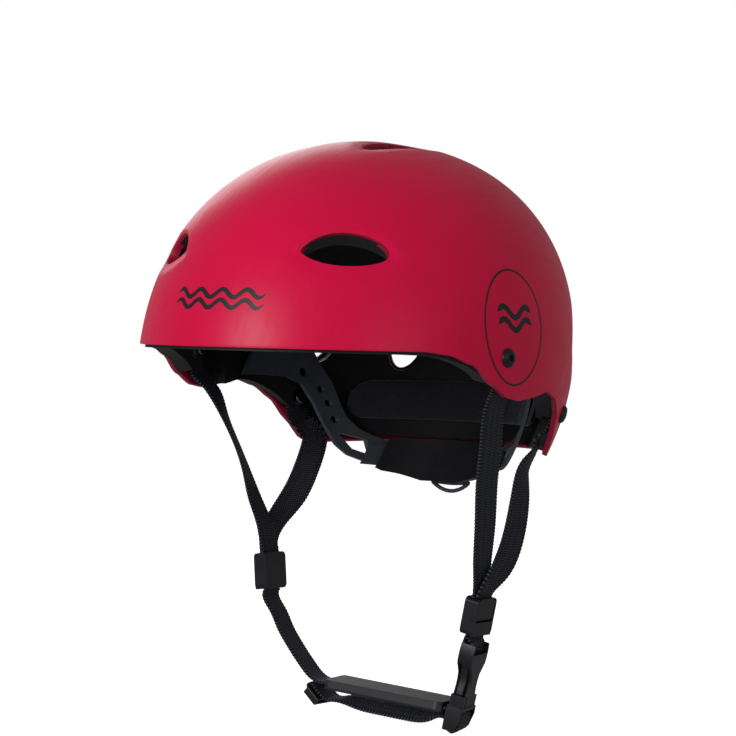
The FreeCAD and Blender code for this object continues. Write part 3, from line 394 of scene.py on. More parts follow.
# Half width, front and rear length, the rounding of the dome at front and back, and the backward lean.
CROWN, HALF_WIDTH, FRONT_LENGTH, REAR_LENGTH = 120.9, 115.3, 143.3, 138.7
FRONT_POWER, REAR_POWER, LEAN = 2.06, 2.25, 0.025
# How far the brim flares out, below which level, and how far the sides tuck in, at which depth below zero.
FLARE, FLARE_LEVEL, TUCK, TUCK_DEPTH = 3.2, 61, 13.7, 60
# Height of the rim at angles from the front.
RIM = ((0, 0), (50, 0), (57, -1.6), (65, -7), (72, -17.5), (79, -24.6), (85, -26.3), (92, -24.5),
       (101, -21.3), (108, -25.2), (114, -33), (119, -45.5), (124, -57.6), (128, -60.4), (137, -59.4),
       (150, -58.6), (180, -59))


def ease(low, high, at):
    """A smooth step from 0 at low to 1 at high."""
    share = np.clip((np.asarray(at, float) - low) / (high - low), 0, 1)
    return share * share * (3 - 2 * share)


def shell_point(angle, z):
    """Points of the shell's outer surface, at angles from the front towards +X."""
    angle, z = np.broadcast_arrays(np.asarray(angle, float), np.asarray(z, float))
    phi = np.radians(angle)
    length = np.where(np.cos(phi) > 0, FRONT_LENGTH, REAR_LENGTH)
    plan = 1 / np.hypot(np.sin(phi) / HALF_WIDTH, np.cos(phi) / length)
    rearward = 0.5 - 0.5 * np.cos(phi)
    power = FRONT_POWER * (1 - rearward) + REAR_POWER * rearward
    dome = (1 - np.clip(z / CROWN, 0, 1) ** power) ** (1 / power)
    front = 1 - ease(40.4, 90.4, np.abs(angle))
    flare = np.clip(1 - z / FLARE_LEVEL, 0, 1.5) ** 2
    tuck = (np.maximum(-z, 0) / TUCK_DEPTH) ** 2
    radius = plan * dome + FLARE * front * flare - (1 - front) * TUCK * tuck
    return np.stack([radius * np.sin(phi), -radius * np.cos(phi) + LEAN * z, z], axis=-1)


def shell_angle(points):
    """Angles from the front of points on or near the shell."""
    return np.degrees(np.arctan2(points[..., 0], -(points[..., 1] - LEAN * points[..., 2])))


def on_shell(points):
    """The same points moved level onto the shell surface."""
    points = np.asarray(points, float)
    return shell_point(shell_angle(points), np.minimum(points[..., 2], CROWN - 0.01))


def shell_normal(angle, z):
    """Outward unit normals of the shell, from short steps over its surface."""
    sideways = shell_point(angle + 0.5, z) - shell_point(angle - 0.5, z)
    upright = shell_point(angle, np.minimum(z + 0.5, CROWN)) - shell_point(angle, z - 0.5)
    normal = np.cross(sideways, upright)
    return normal / np.maximum(np.linalg.norm(normal, axis=-1, keepdims=True), 1e-9)


def surface_frame(angle, z):
    """Origin, level direction, upward direction and outward normal at a place on the shell."""
    normal = shell_normal(angle, z)
    sideways = np.array([math.cos(math.radians(angle)), math.sin(math.radians(angle)), 0])
    upright = np.cross(normal, sideways)
    upright /= np.linalg.norm(upright)
    return shell_point(angle, z), np.cross(upright, normal), upright, normal


def rim_height(angle):
    """Height of the shell's lower edge at angles from the front."""
    at = np.abs(np.asarray(angle, float))
    height = np.zeros_like(at)
    for (low, z_low), (high, z_high) in zip(RIM, RIM[1:]):
        inside = (at >= low) & (at <= high)
        share = ease(low, high, at) * 0.5 + 0.5 * (at - low) / (high - low)
        height = np.where(inside, z_low + (z_high - z_low) * share, height)
    return height


# Vents: angle, height, length, width, turn, sharpness of the inner end, how much of the dish is a crease.
VENTS = ((29.4, 53.7, 48.5, 18.5, 4.6, 0.72, 1.0), (150, 66, 46, 16, -12, 0.5, 0.5),
         (131, 9, 38, 18, 62, 0.5, 0.5), (157, 8, 42, 20, 72, 0.5, 0.5))
CROWN_VENT, CROWN_VENT_LENGTH, CROWN_VENT_WIDTH = (22.5, -6.5, 116.0), 60, 17.5


class Vent:
    """One vent: its own flat frame on the shell, its outline and the dished ground round it."""

    CREASE_DEPTH, SOFT_DEPTH, SOFT_REACH = 1.1, 1.3, 9

    def __init__(self, origin, along, across, length, width, sharp, crease, mirror):
        self.origin, self.along, self.across = origin, along, across
        self.length, self.width, self.crease, self.mirror = length, width, crease, mirror
        turn = np.linspace(0, 2 * math.pi, 160, endpoint=False)
        x = -np.cos(turn)
        power = sharp + (0.5 - sharp) * (x + 1) / 2
        y = np.sign(np.sin(turn)) * np.maximum(1 - x * x, 0) ** power
        y = np.where(y > 0, y * (1 + 0.5 * max(crease - 0.5, 0)), y)
        self.outline = np.stack([x * length / 2, y * width / 2], axis=1)

    def flat(self, points):
        """The points in the vent's flat frame, and their offsets from its middle."""
        moved = points * [self.mirror, 1, 1] - self.origin
        return np.stack([moved @ self.along, moved @ self.across], axis=-1), moved

    def near(self, points, reach):
        """Numbers of the points within a reach of the vent's ends."""
        _, moved = self.flat(points)
        return np.flatnonzero(np.linalg.norm(moved, axis=1) < self.length / 2 + reach)

    def gap(self, points):
        """Distance outside the outline, negative inside, and the nearest place on the outline."""
        spots, _ = self.flat(points)
        start, end = self.outline, np.roll(self.outline, -1, axis=0)
        step = end - start
        share = np.einsum("pkc,kc->pk", spots[:, None] - start[None], step) / (step ** 2).sum(1)
        nearest = start[None] + np.clip(share, 0, 1)[..., None] * step[None]
        distance = np.linalg.norm(spots[:, None] - nearest, axis=2)
        best = distance.argmin(1)
        rows = np.arange(len(spots))
        sides = (start[None, :, 1] > spots[:, None, 1]) != (end[None, :, 1] > spots[:, None, 1])
        rise = np.where(step[:, 1] == 0, 1e-9, step[:, 1])
        crossing = start[None, :, 0] + (spots[:, None, 1] - start[None, :, 1]) * (step[:, 0] / rise)[None]
        inside = ((sides & (spots[:, None, 0] < crossing)).sum(1) % 2) == 1
        return np.where(inside, -1, 1) * distance[rows, best], nearest[rows, best], spots

    def unflat(self, points, spots, before):
        """The points after their flat places have moved from one set of spots to another."""
        shift = spots - before
        moved = shift[:, :1] * self.along + shift[:, 1:] * self.across
        return on_shell(points + moved * [self.mirror, 1, 1])

    def dish(self, gap, spots):
        """How far the ground dips: a crease above the opening that fades to a soft fall below it."""
        upper = ease(-0.35, 0.45, spots[:, 1] / (self.width / 2)) * self.crease
        reach = 1.5 + 3.5 * ease(0, self.length / 2, spots[:, 0])
        ramp = np.clip(1 - gap / reach, 0, 1)
        ramp = np.where(ramp < 0.12, ramp * ramp / 0.24, ramp - 0.06)
        soft = 1 - ease(0, self.SOFT_REACH, gap)
        return upper * self.CREASE_DEPTH * ramp + (1 - upper) * self.SOFT_DEPTH * soft


def all_vents():
    """The vents of both sides."""
    made = []
    for angle, z, length, width, turn, sharp, crease in VENTS:
        origin, along, across, _ = surface_frame(angle, z)
        c, s = math.cos(math.radians(turn)), math.sin(math.radians(turn))
        for mirror in (1, -1):
            made.append(Vent(origin, along * c + across * s, across * c - along * s, length, width, sharp,
                             crease, mirror))
    for mirror in (1, -1):
        made.append(Vent(np.array(CROWN_VENT), np.array([0.0, 1, 0]), np.array([-1.0, 0, 0]),
                         CROWN_VENT_LENGTH, CROWN_VENT_WIDTH, 0.5, 0.5, mirror))
    return made


# ---------------------------------------------------------------- shell

COLUMNS, ROWS = 260, 84
# Points this close to an outline move onto it; vents above this level get a lip and a wall of their own.
SNAP, LIP_LEVEL = 0.56, 30
VENT_WALL, SHELL_WALL, EDGE_ROUNDING, RIM_BAND = 4.6, 3, 0.7, 6
# Material slots of the shell: the crimson outside, the darker crimson of painted shade, and the black foam as
# painted shade on its inner face.
OUTSIDE, PAINTED_SHADE_EDGE, PAINTED_SHADE_INSIDE = 0, 1, 2


def shell_grid():
    """A flat grid of angle and share of the way up, still to be placed on the shell."""
    work = bmesh.new()
    grid = [[work.verts.new((-180 + 360 * c / COLUMNS, r / ROWS, 0)) for c in range(COLUMNS + 1)]
            for r in range(ROWS + 1)]
    for r in range(ROWS):
        for c in range(COLUMNS):
            work.faces.new((grid[r][c], grid[r][c + 1], grid[r + 1][c + 1], grid[r + 1][c]))
    work.verts.index_update()
    return work


def placed(work):
    """Where the points of the grid lie on the shell."""
    flat = np.array([vertex.co[:2] for vertex in work.verts])
    start = np.degrees(np.arcsin(rim_height(flat[:, 0]) / CROWN))
    tilt = start + (90 - start) * flat[:, 1]
    return shell_point(flat[:, 0], CROWN * np.sin(np.radians(np.minimum(tilt, 90))))


def refine(work, vents):
    """Make the grid finer round the outlines of the vents."""
    points = placed(work)
    chosen = np.zeros(len(points), bool)
    for vent in vents:
        close = vent.near(points, 12)
        gap, _, _ = vent.gap(points[close])
        chosen[close[(gap > -4.5) & (gap < 7)]] = True
    edges = [edge for edge in work.edges if chosen[edge.verts[0].index] and chosen[edge.verts[1].index]]
    bmesh.ops.subdivide_edges(work, edges=edges, cuts=2, use_grid_fill=True)
    work.verts.ensure_lookup_table()
    work.verts.index_update()


def cut_openings(work, vents):
    """Put the grid on the shell, with its edges along the outlines, and take out the faces inside them."""
    points = placed(work)
    snapped = np.zeros(len(points), bool)
    for vent in vents:
        close = vent.near(points, 14)
        gap, nearest, spots = vent.gap(points[close])
        hit = np.abs(gap) < SNAP
        moved = close[hit]
        points[moved] = vent.unflat(points[moved], nearest[hit], spots[hit])
        snapped[moved] = True
    bmesh.ops.connect_verts(work, verts=[work.verts[i] for i in np.flatnonzero(snapped)])
    centres = np.array([points[[vertex.index for vertex in face.verts]].mean(0) for face in work.faces])
    inside = np.zeros(len(centres), bool)
    for vent in vents:
        close = vent.near(centres, 4)
        gap, _, _ = vent.gap(centres[close])
        inside[close[gap < 0]] = True
    for vertex in work.verts:
        vertex.co = points[vertex.index] * MM
    work.faces.ensure_lookup_table()
    bmesh.ops.delete(work, geom=[work.faces[i] for i in np.flatnonzero(inside)], context="FACES")
    bmesh.ops.remove_doubles(work, verts=work.verts, dist=2e-5)


def lips(work):
    """The edges round the openings of the upper vents."""
    return [edge for edge in work.edges
            if edge.is_boundary and min(vertex.co.z for vertex in edge.verts) > LIP_LEVEL * MM]


def settle_lips(work, vents):
    """Move every point of the lips onto the outline of its vent."""
    ring = list({vertex for edge in lips(work) for vertex in edge.verts})
    spots = np.array([vertex.co for vertex in ring]) / MM
    for vent in vents:
        close = vent.near(spots, 6)
        _, nearest, before = vent.gap(spots[close])
        spots[close] = vent.unflat(spots[close], nearest, before)
    for vertex, spot in zip(ring, spots):
        vertex.co = spot * MM
    bmesh.ops.remove_doubles(work, verts=ring, dist=4.5e-4)
    bmesh.ops.dissolve_degenerate(work, edges=work.edges, dist=2e-5)
    work.verts.index_update()


def sink_and_wall(work, vents):
    """Dish the ground round the vents and extrude the walls of the upper ones; gives the wall faces."""
    points = np.array([vertex.co for vertex in work.verts]) / MM
    drop = np.zeros(len(points))
    for vent in vents:
        close = vent.near(points, 14)
        gap, _, spots = vent.gap(points[close])
        drop[close] = np.maximum(drop[close], vent.dish(np.maximum(gap, 0), spots))
    inward = -shell_normal(shell_angle(points), np.minimum(points[:, 2], CROWN - 1.5))
    ways = {}
    for vertex in work.verts:
        way = inward[vertex.index]
        vertex.co = (points[vertex.index] + way * drop[vertex.index]) * MM
        ways[tuple(vertex.co)] = way
    made = bmesh.ops.extrude_edge_only(work, edges=lips(work))["geom"]
    for vertex in (item for item in made if isinstance(item, bmesh.types.BMVert)):
        vertex.co += Vector(ways[tuple(vertex.co)]) * VENT_WALL * MM
    return {item for item in made if isinstance(item, bmesh.types.BMFace)}


def make_shell():
    """The hard shell with its vents, made new over the CAD shell."""
    vents = all_vents()
    work = shell_grid()
    refine(work, vents)
    cut_openings(work, vents)
    settle_lips(work, vents)
    walls = sink_and_wall(work, vents)
    bmesh.ops.recalc_face_normals(work, faces=work.faces)
    for face in work.faces:
        face.smooth = True
        # Vent walls take the darker crimson of painted shade.
        face.material_index = PAINTED_SHADE_EDGE if face in walls else OUTSIDE
    mesh = bpy.data.meshes.new("shell")
    work.to_mesh(mesh)
    work.free()
    for material in (SHELL, SHELL_PAINTED_SHADE, FOAM):
        mesh.materials.append(material)
    shell = bpy.data.objects.new("shell", mesh)
    bpy.context.scene.collection.objects.link(shell)
    wall = shell.modifiers.new("wall", "SOLIDIFY")
    wall.thickness = SHELL_WALL * MM
    wall.offset = -1
    # The cut rim takes the darker crimson of painted shade; the red inner face takes the black foam as
    # painted shade, where it lies in shadow.
    wall.material_offset_rim = PAINTED_SHADE_EDGE
    wall.material_offset = PAINTED_SHADE_INSIDE
    edges = shell.modifiers.new("edges", "BEVEL")
    edges.width = EDGE_ROUNDING * MM
    edges.segments = 2
    edges.limit_method = "ANGLE"
    edges.angle_limit = math.radians(50)
    shell = bake(shell)
    # Near the rim the inner face takes the darker crimson of painted shade in place of the black.
    centres = np.array([face.center for face in shell.data.polygons]) / MM
    for index in np.flatnonzero(centres[:, 2] < rim_height(shell_angle(centres)) + RIM_BAND):
        face = shell.data.polygons[index]
        if face.material_index == PAINTED_SHADE_INSIDE:
            face.material_index = PAINTED_SHADE_EDGE
    return stand_for(shell, "outer_shell")


make_shell()

# ---------------------------------------------------------------- printed marks


# How far a mark's edges lie under the shell's surface and how far its face stands over it.
SUNK, RAISED = -0.35, 0.12
RING_HALF_WIDTH, RING_HALF_HEIGHT, RING_LINE = 26, 32, 1.1


def surface_strip(name, place, line, width, closed=False):
    """A thin raised strip on the shell along a flat line given in the frame of a place."""
    origin, sideways, upright, _ = place
    line = np.asarray(line, float)
    if closed:
        step = np.roll(line, -1, axis=0) - np.roll(line, 1, axis=0)
        taper = np.ones(len(line))
    else:
        step = np.gradient(line, axis=0)
        taper = np.minimum(1, np.sin(np.linspace(0, math.pi, len(line))) * 4 + 0.15)
    step /= np.linalg.norm(step, axis=1, keepdims=True)
    normal = np.stack([-step[:, 1], step[:, 0]], axis=1)
    rings = []
    for side, lift in ((-1, SUNK), (-1, RAISED), (1, RAISED), (1, SUNK)):
        flat = line + normal * (side * width / 2 * taper)[:, None]
        points = on_shell(origin + flat[:, :1] * sideways + flat[:, 1:] * upright)
        rings.append(points + shell_normal(shell_angle(points), points[:, 2]) * lift)
    count = len(line)
    points = np.concatenate(rings)
    faces = []
    for k in range(count if closed else count - 1):
        after = (k + 1) % count
        for ring in range(4):
            nxt = (ring + 1) % 4
            faces.append((ring * count + k, ring * count + after, nxt * count + after, nxt * count + k))
    if not closed:
        faces.append(tuple(ring * count for ring in range(4)))
        faces.append(tuple(ring * count + count - 1 for ring in (3, 2, 1, 0)))
    piece = mesh_piece(name, points, faces, PRINT)
    work = bmesh.new()
    work.from_mesh(piece.data)
    bmesh.ops.recalc_face_normals(work, faces=work.faces)
    work.to_mesh(piece.data)
    work.free()
    for polygon in piece.data.polygons:
        polygon.use_smooth = False
    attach(piece, "helmet")
    return piece


def wave(length, height, crests, rise):
    """A flat wave line through the middle of its place."""
    x = np.linspace(-length / 2, length / 2, 121)
    return np.stack([x, rise + height / 2 * np.sin(2 * math.pi * crests * (x / length + 0.5))], axis=1)


turn = np.linspace(0, 2 * math.pi, 144, endpoint=False)
left_mark = surface_frame(81.2, 14.5)
ring = np.stack([RING_HALF_WIDTH * np.cos(turn), RING_HALF_HEIGHT * np.sin(turn)], axis=1)
surface_strip("ring_mark", left_mark, ring, RING_LINE, True)
for number, (rise, width) in enumerate(((8.5, 3.2), (1.5, 3.2))):
    surface_strip(f"side_wave_{number}", left_mark, wave(30, 6, 1.5, rise), width)
front_mark = surface_frame(0, 26)
for number, (rise, width) in enumerate(((3.0, 2.6), (-3.0, 2.6))):
    surface_strip(f"front_wave_{number}", front_mark, wave(62, 4.5, 4, rise), width)

# ---------------------------------------------------------------- webbing

def plan_direction(angle):
    """Level direction at an angle from +X towards +Y."""
    return Vector((math.cos(math.radians(angle)), math.sin(math.radians(angle)), 0))


def turned(x, y, z, turns):
    """Placement at a point, turned by (axis, degrees) in order."""
    matrix = Matrix.Translation(Vector((x, y, z)))
    for axis, degrees in turns:
        matrix = matrix @ Matrix.Rotation(math.radians(degrees), 4, axis)
    return matrix


DIVIDER_FRAMES = {"left": turned(76, 11.4, -150, (("Y", 11),)),
                  "right": turned(-76.3, 14.7, -136, (("Y", -5), ("Z", 180)))}
LAYERS = {"front": -1.05, "rear": 0.87}
BUCKLE_TURNS = (("Y", 13.1), ("Z", 7))
BUCKLE_FRAME = turned(71, 11, -183.1, BUCKLE_TURNS) @ Matrix.Translation((0, 0, -19.2))


def in_divider(word, layer, height):
    """A point in the frame of a divider."""
    return DIVIDER_FRAMES[word] @ Vector((layer, 0, height))


def in_buckle(x, z):
    """A point in the middle plane of the buckle."""
    return BUCKLE_FRAME @ Vector((x, 0, z))


def buckle_across(rise=0.0):
    """Direction across the webbing in the buckle, tipped up by an angle."""
    tilt = math.radians(rise)
    return BUCKLE_FRAME.to_3x3() @ Vector((0, math.cos(tilt), math.sin(tilt)))


ANCHORS = {"front": (77.8, -2.4, 14, 82), "rear": (122.6, -35, 0, 113.6)}
ANCHOR_PATHS = {
    "front": ((-8, 4.7), (-4, 4.6), (0, 4.6), (4, 4.6), (8, 4.8), (12, 5.5), (16, 6.7)),
    "rear": ((-8, 4.6), (-4, 4.6), (0, 4.6), (4, 4.6), (8, 4.7), (10.4, 5.3), (12.8, 6.6), (15.6, 8.8)),
}
STRAP_RUNS = {
    ("front", "left"): ((103.2, -18.2, -26.2, 80), (96.6, -12.5, -49.1, 74), (90.5, -6, -73.2, 74),
                        (85.3, 1.5, -97.6, 77), (80.2, 7.8, -118.1, 84), (78.3, 10.4, -128, 88)),
    ("rear", "left"): ((83.4, 57.8, -54, 114), (81.5, 50, -66, 102), (83.5, 42, -80, 86),
                       (85.6, 34.5, -98, 74), (85.6, 29, -111, 72), (84.4, 21.5, -123, 77),
                       (81.8, 14.5, -132, 87)),
    ("front", "right"): ((-102.2, -16.8, -24.7, -84), (-95.5, -9.8, -42, -66), (-90.2, -4.2, -59, -60),
                         (-86.2, 0.8, -75, -66), (-82.5, 5.4, -92, -80), (-77.8, 9.6, -108, -87),
                         (-77, 12.4, -117, -90)),
    ("rear", "right"): ((-81.5, 61, -53, -124), (-76.8, 56, -63, -130), (-74.6, 46, -76, -136),
                        (-75, 36, -90, -126), (-79.6, 26, -104, -108), (-81, 19, -115, -96)),
}


BAR_RADIUS = 2.75
LAST_HEIGHT = {"left": -10.9, "right": -11}
CHIN_HEIGHT = -10.9


def strap_stations(name, word):
    """Places of the middle of a side strap and its direction across, from its anchor to its divider."""
    side = 1 if word == "left" else -1
    angle, z, lean, facing = ANCHORS[name]
    origin, sideways, upright, normal = surface_frame(side * angle, z)
    lean = math.radians(lean)
    across = plan_direction(side * facing)
    stations = []
    for down, depth in ANCHOR_PATHS[name]:
        point = origin + sideways * side * math.sin(lean) * down - upright * math.cos(lean) * down
        stations.append((Vector(point - normal * depth), across))
    stations += [(Vector((x, y, z)), plan_direction(turn)) for x, y, z, turn in STRAP_RUNS[name, word]]
    turn = plan_direction(90 * side)
    heights = (9, 4, -2, -7, LAST_HEIGHT[word])
    stations += [(in_divider(word, LAYERS[name], height), turn) for height in heights]
    if (name, word) == ("front", "left"):
        for degrees in (0, 45, 90, 135, 180):
            angle = math.radians(degrees)
            spot = in_buckle(-1.45 - BAR_RADIUS * math.cos(angle), 36.4 - BAR_RADIUS * math.sin(angle))
            stations.append((spot, buckle_across()))
        for height in (-13, -11.6):
            stations.append((in_divider("left", LAYERS["rear"], height), Vector((0, 1, 0))))
    return stations


CHIN_RUN = ((-75.2, 14.5, -148.8), (-69.6, 13.8, -158.8), (-62.5, 12.9, -169.2), (-55.6, 12.1, -177.4),
            (-49.1, 11.3, -184.1), (-42.8, 10.7, -190.2), (-37, 10.3, -195.1), (-31, 10.1, -197.7))
CHIN_MIDDLE, KEEPER = Vector((18.3, 10, -200.8)), Vector((-32.8, 10.2, -206.3))
# Round the ladder lock, as x, z and tip in the buckle's frame, then the tail as x, y, z and tip.
LOCK_IN = [(-5.6, -3.8, 0), (0, -3.9, 0), (1.5, -4.1, 0), (2.6, -5.2, 0), (3, -7, 1), (3, -9.4, 3)]
LOCK_RADIUS, FOLD_RADIUS = 2.95, 1.8
TAIL_RUN = ((58.4, 10.6, -208.6, 6), (50, 10.2, -209.9, 14), (34, 10, -211, 20),
            (16, 10, -209.9, 20), (-2, 10, -208.6, 16), (-16, 10.1, -207.3, 6))


def sloped(degrees):
    """Direction towards the wearer's left that falls by an angle."""
    return Vector((math.cos(math.radians(degrees)), 0, -math.sin(math.radians(degrees))))


def in_keeper(along, above):
    """A point beside the keeper, along and above the webbing."""
    fall = sloped(42)
    return KEEPER + fall * along + Vector((-fall.z, 0, fall.x)) * above


def chin_stations():
    """Stations of the chin strap from the right divider to the fold of its tail in the keeper."""
    across = Vector((0, 1, 0))
    stations = [(in_divider("right", LAYERS["front"], CHIN_HEIGHT), across)]
    stations += [(Vector(point), across) for point in CHIN_RUN]
    stations += [(CHIN_MIDDLE + sloped(3.5) * along, across) for along in (-43, -30, -15, 0, 15, 30, 39)]
    lock = list(LOCK_IN)
    for degrees in (15, 55, 90, 125, 165):
        angle = math.radians(degrees)
        lock.append((LOCK_RADIUS * math.cos(angle), -12.2 - LOCK_RADIUS * math.sin(angle), 4))
    lock.append((-3.6, -10.2, 3))
    stations += [(in_buckle(x, z), buckle_across(tip)) for x, z, tip in lock]
    for x, y, z, tip in TAIL_RUN:
        tilt = math.radians(tip)
        stations.append((Vector((x, y, z)), Vector((0, math.cos(tilt), math.sin(tilt)))))
    fold = [in_keeper(6.6, 4.6), in_keeper(2.5, 3.9), in_keeper(-2, 3.7)]
    for degrees in (0, 45, 90, 135, 180):
        angle = math.radians(degrees)
        fold.append(in_keeper(-5.5 - FOLD_RADIUS * math.sin(angle), 1.9 + FOLD_RADIUS * math.cos(angle)))
    fold += [in_keeper(-2.6, 0.1), in_keeper(1.5, 0.1)]
    return stations + [(point, across) for point in fold]


def through(knots, values, samples):
    """Natural cubic curve through values at the knots, read at the samples."""
    knots, values = np.asarray(knots), np.asarray(values)
    gaps = np.diff(knots)
    count = len(knots)
    system = np.eye(count)
    target = np.zeros((count, values.shape[1]))
    for k in range(1, count - 1):
        system[k, k - 1:k + 2] = gaps[k - 1], 2 * (gaps[k - 1] + gaps[k]), gaps[k]
        target[k] = 6 * ((values[k + 1] - values[k]) / gaps[k] - (values[k] - values[k - 1]) / gaps[k - 1])
    bend = np.linalg.solve(system, target)
    k = np.clip(np.searchsorted(knots, samples, side="right") - 1, 0, count - 2)
    before, after = (samples - knots[k])[:, None], (knots[k + 1] - samples)[:, None]
    gap = gaps[k][:, None]
    start = (values[k] / gap - bend[k] * gap / 6) * after
    end = (values[k + 1] / gap - bend[k + 1] * gap / 6) * before
    return (bend[k] * after ** 3 + bend[k + 1] * before ** 3) / (6 * gap) + start + end


# Half of the webbing's section as (place across, height), the spacing of its rings and the size of its ribs.
STEP, RIB_OUT, RIB_UP = 0.52, 0.14, 0.09
SECTION = [(-8.0, 0.32), (-7.7, 0.68), (-7.1, 0.88), (-6.2, 0.86), (-3.2, 0.9), (0, 0.9), (3.2, 0.9),
           (6.2, 0.86), (7.1, 0.88), (7.7, 0.68), (8.0, 0.32)]


def webbing(name, stations, node, hinge=None):
    """Woven tape through its stations, with swollen ribbed edges."""
    centres = np.array([point for point, _ in stations])
    borders = centres + np.array([across for _, across in stations]) * WIDTH / 2
    knots = np.concatenate([[0], np.cumsum(np.linalg.norm(np.diff(centres, axis=0), axis=1))])
    samples = np.linspace(0, knots[-1], int(knots[-1] / STEP) + 2)
    middle = through(knots, centres, samples)
    border = through(knots, borders, samples)
    along = np.gradient(middle, axis=0)
    along /= np.linalg.norm(along, axis=1, keepdims=True)
    outward = np.cross(border - middle, along)
    outward /= np.linalg.norm(outward, axis=1, keepdims=True)
    across = np.cross(along, outward)
    ribs = np.sin(2 * math.pi * samples / RIB_PITCH)
    loop = [(v, w) for v, w in SECTION] + [(v, -w) for v, w in reversed(SECTION)]
    rings = []
    for v, w in loop:
        edge = float(ease(6.3, 7.2, abs(v)))
        side = v + math.copysign(1, v) * RIB_OUT * edge * (ribs - 1)
        lift = w + math.copysign(1, w) * RIB_UP * edge * (ribs - 0.6)
        rings.append(middle + across * side[:, None] + outward * lift[:, None])
    count, ring = len(samples), len(loop)
    points = np.stack(rings, axis=1).reshape(-1, 3)
    faces, uvs = [], []
    for s in range(count - 1):
        for r in range(ring):
            after = (r + 1) % ring
            faces.append((s * ring + r, s * ring + after, (s + 1) * ring + after, (s + 1) * ring + r))
            low, high = loop[r][0] + WIDTH / 2, loop[after][0] + WIDTH / 2
            uvs += [(samples[s], low), (samples[s], high), (samples[s + 1], high), (samples[s + 1], low)]
    for s, order in ((0, range(ring - 1, -1, -1)), (count - 1, range(ring))):
        faces.append([s * ring + r for r in order])
        uvs += [(samples[s], loop[r][0] + WIDTH / 2) for r in order]
    piece = mesh_piece(name, points, faces, WEBBING, uvs)
    if hinge:
        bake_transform(piece)
        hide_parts(node)
        return piece
    return stand_for(piece, node)


for name, word in STRAP_RUNS:
    webbing(f"webbing_{name}_{word}", strap_stations(name, word), f"strap_{name}_{word}")
# Two places on the chin strap, passed to webbing with the harness names, which it does not read.
bend_start, bend_end = Vector((-74.3, 14.7, -147.2)) * MM, Vector((-72.5, 14.2, -153.6)) * MM
webbing("webbing_chin", chin_stations(), "chin_strap", ("helmet", "chin_harness", bend_start, bend_end))

# ---------------------------------------------------------------- adjuster tab

ROD_RADIUS, BARREL_REACH, EYE_REACH, EYE_DROP, EYE_BOW = 1.25, 14.6, 14.2, 1.4, 1.2


def rounded_rod(name, lines, radius, material, squash=1.0):
    """Closed smooth rods along lines of points, joined into one mesh."""
    points, faces = [], []
    ring = 12
    for line in lines:
        line = np.asarray(line, float)
        step = np.gradient(line, axis=0)
        step /= np.linalg.norm(step, axis=1, keepdims=True)
        base = len(points)
        for k, (centre, direction) in enumerate(zip(line, step)):
            side = np.cross(direction, [0, 1, 0])
            side /= np.linalg.norm(side)
            rise = np.cross(side, direction)
            share = 2 * k / (len(line) - 1) - 1
            girth = radius * max(0.05, 1 - abs(share) ** 16) ** 0.5
            for r in range(ring):
                angle = 2 * math.pi * r / ring
                outward = side * math.cos(angle) + rise * squash * math.sin(angle)
                points.append(centre + outward * girth)
        for k in range(len(line) - 1):
            for r in range(ring):
                after = (r + 1) % ring
                faces.append((base + k * ring + r, base + k * ring + after,
                              base + (k + 1) * ring + after, base + (k + 1) * ring + r))
        faces.append([base + r for r in range(ring - 1, -1, -1)])
        faces.append([base + (len(line) - 1) * ring + r for r in range(ring)])
    return mesh_piece(name, points, faces, material)


def make_tab():
    """The pull loop under the nape sleeve: an eye of two curved bars under a hinge barrel."""
    low, high = (np.array(corner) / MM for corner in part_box("adjuster_tab"))
    middle, top, bottom = (low + high) / 2, high[2] - 1.8, low[2] + 1.3
    eye = top - EYE_DROP
    across = np.linspace(-1, 1, 33)
    bow = 1 - across ** 2
    barrel = [(middle[0] + BARREL_REACH * t, middle[1], top) for t in np.linspace(-1, 1, 9)]
    upper = [(middle[0] + EYE_REACH * t, middle[1], eye - EYE_BOW * b) for t, b in zip(across, bow)]
    lower = [(middle[0] + EYE_REACH * t, middle[1], eye - (eye - bottom) * b) for t, b in zip(across, bow)]
    tab = rounded_rod("adjuster_loop", (barrel, upper, lower), ROD_RADIUS, CRADLE, 1.2)
    return stand_for(tab, "adjuster_tab")


# ---------------------------------------------------------------- hard parts carried over from the frame

for node in ("divider_left", "divider_right", "buckle_female", "buckle_male", "strap_keeper",
             "divider_lever_left", "divider_lever_right", "buckle_prong_front", "buckle_prong_rear"):
    remade(node, BUCKLE, 0.35, 3)
for node in ("fit_arm_left", "fit_arm_right", "arm_studs", "nape_band"):
    remade(node, CRADLE, 0.4, 3)
remade("nape_sleeve", SLEEVE, 0.6, 3)
make_tab()
for node in ("front_anchor_screws", "rear_anchor_screws"):
    remade(node, METAL, 0.25, 2)
for node in ("front_anchor_nuts", "rear_anchor_nuts", "anchor_washers"):
    remade(node, BRIGHT, 0.2, 2)
remade("foam_liner", FOAM, 0.9, 2, 45)
remade("chin_pad", RUBBER, 0.9, 3)

# ---------------------------------------------------------------- comfort pads


BLOCK_SIZE, INSET, PUFF_LIMIT = 2.2, 0.5, 1.4
PRESSURE, CLOTH_FRAMES, SMOOTHINGS = 4, 12, 6


def spots_of(piece):
    return np.array([vertex.co for vertex in piece.data.vertices])


def move_spots(piece, spots):
    piece.data.vertices.foreach_set("co", spots.astype(np.float32).ravel())


def puff(piece, rest):
    """Blow up a piece by a short cloth simulation, to a limit from its rest shape."""
    cloth = piece.modifiers.new("cloth", "CLOTH")
    cloth.settings.use_pressure = True
    cloth.settings.uniform_pressure_force = PRESSURE
    cloth.settings.effector_weights.gravity = 0
    scene = bpy.context.scene
    for number in range(1, CLOTH_FRAMES + 1):
        scene.frame_set(number)
    bake(piece)
    scene.frame_set(1)
    shift = spots_of(piece) - rest
    reach = np.linalg.norm(shift, axis=1, keepdims=True)
    shift *= np.minimum(1, PUFF_LIMIT * MM / np.maximum(reach, 1e-9))
    move_spots(piece, rest + shift)


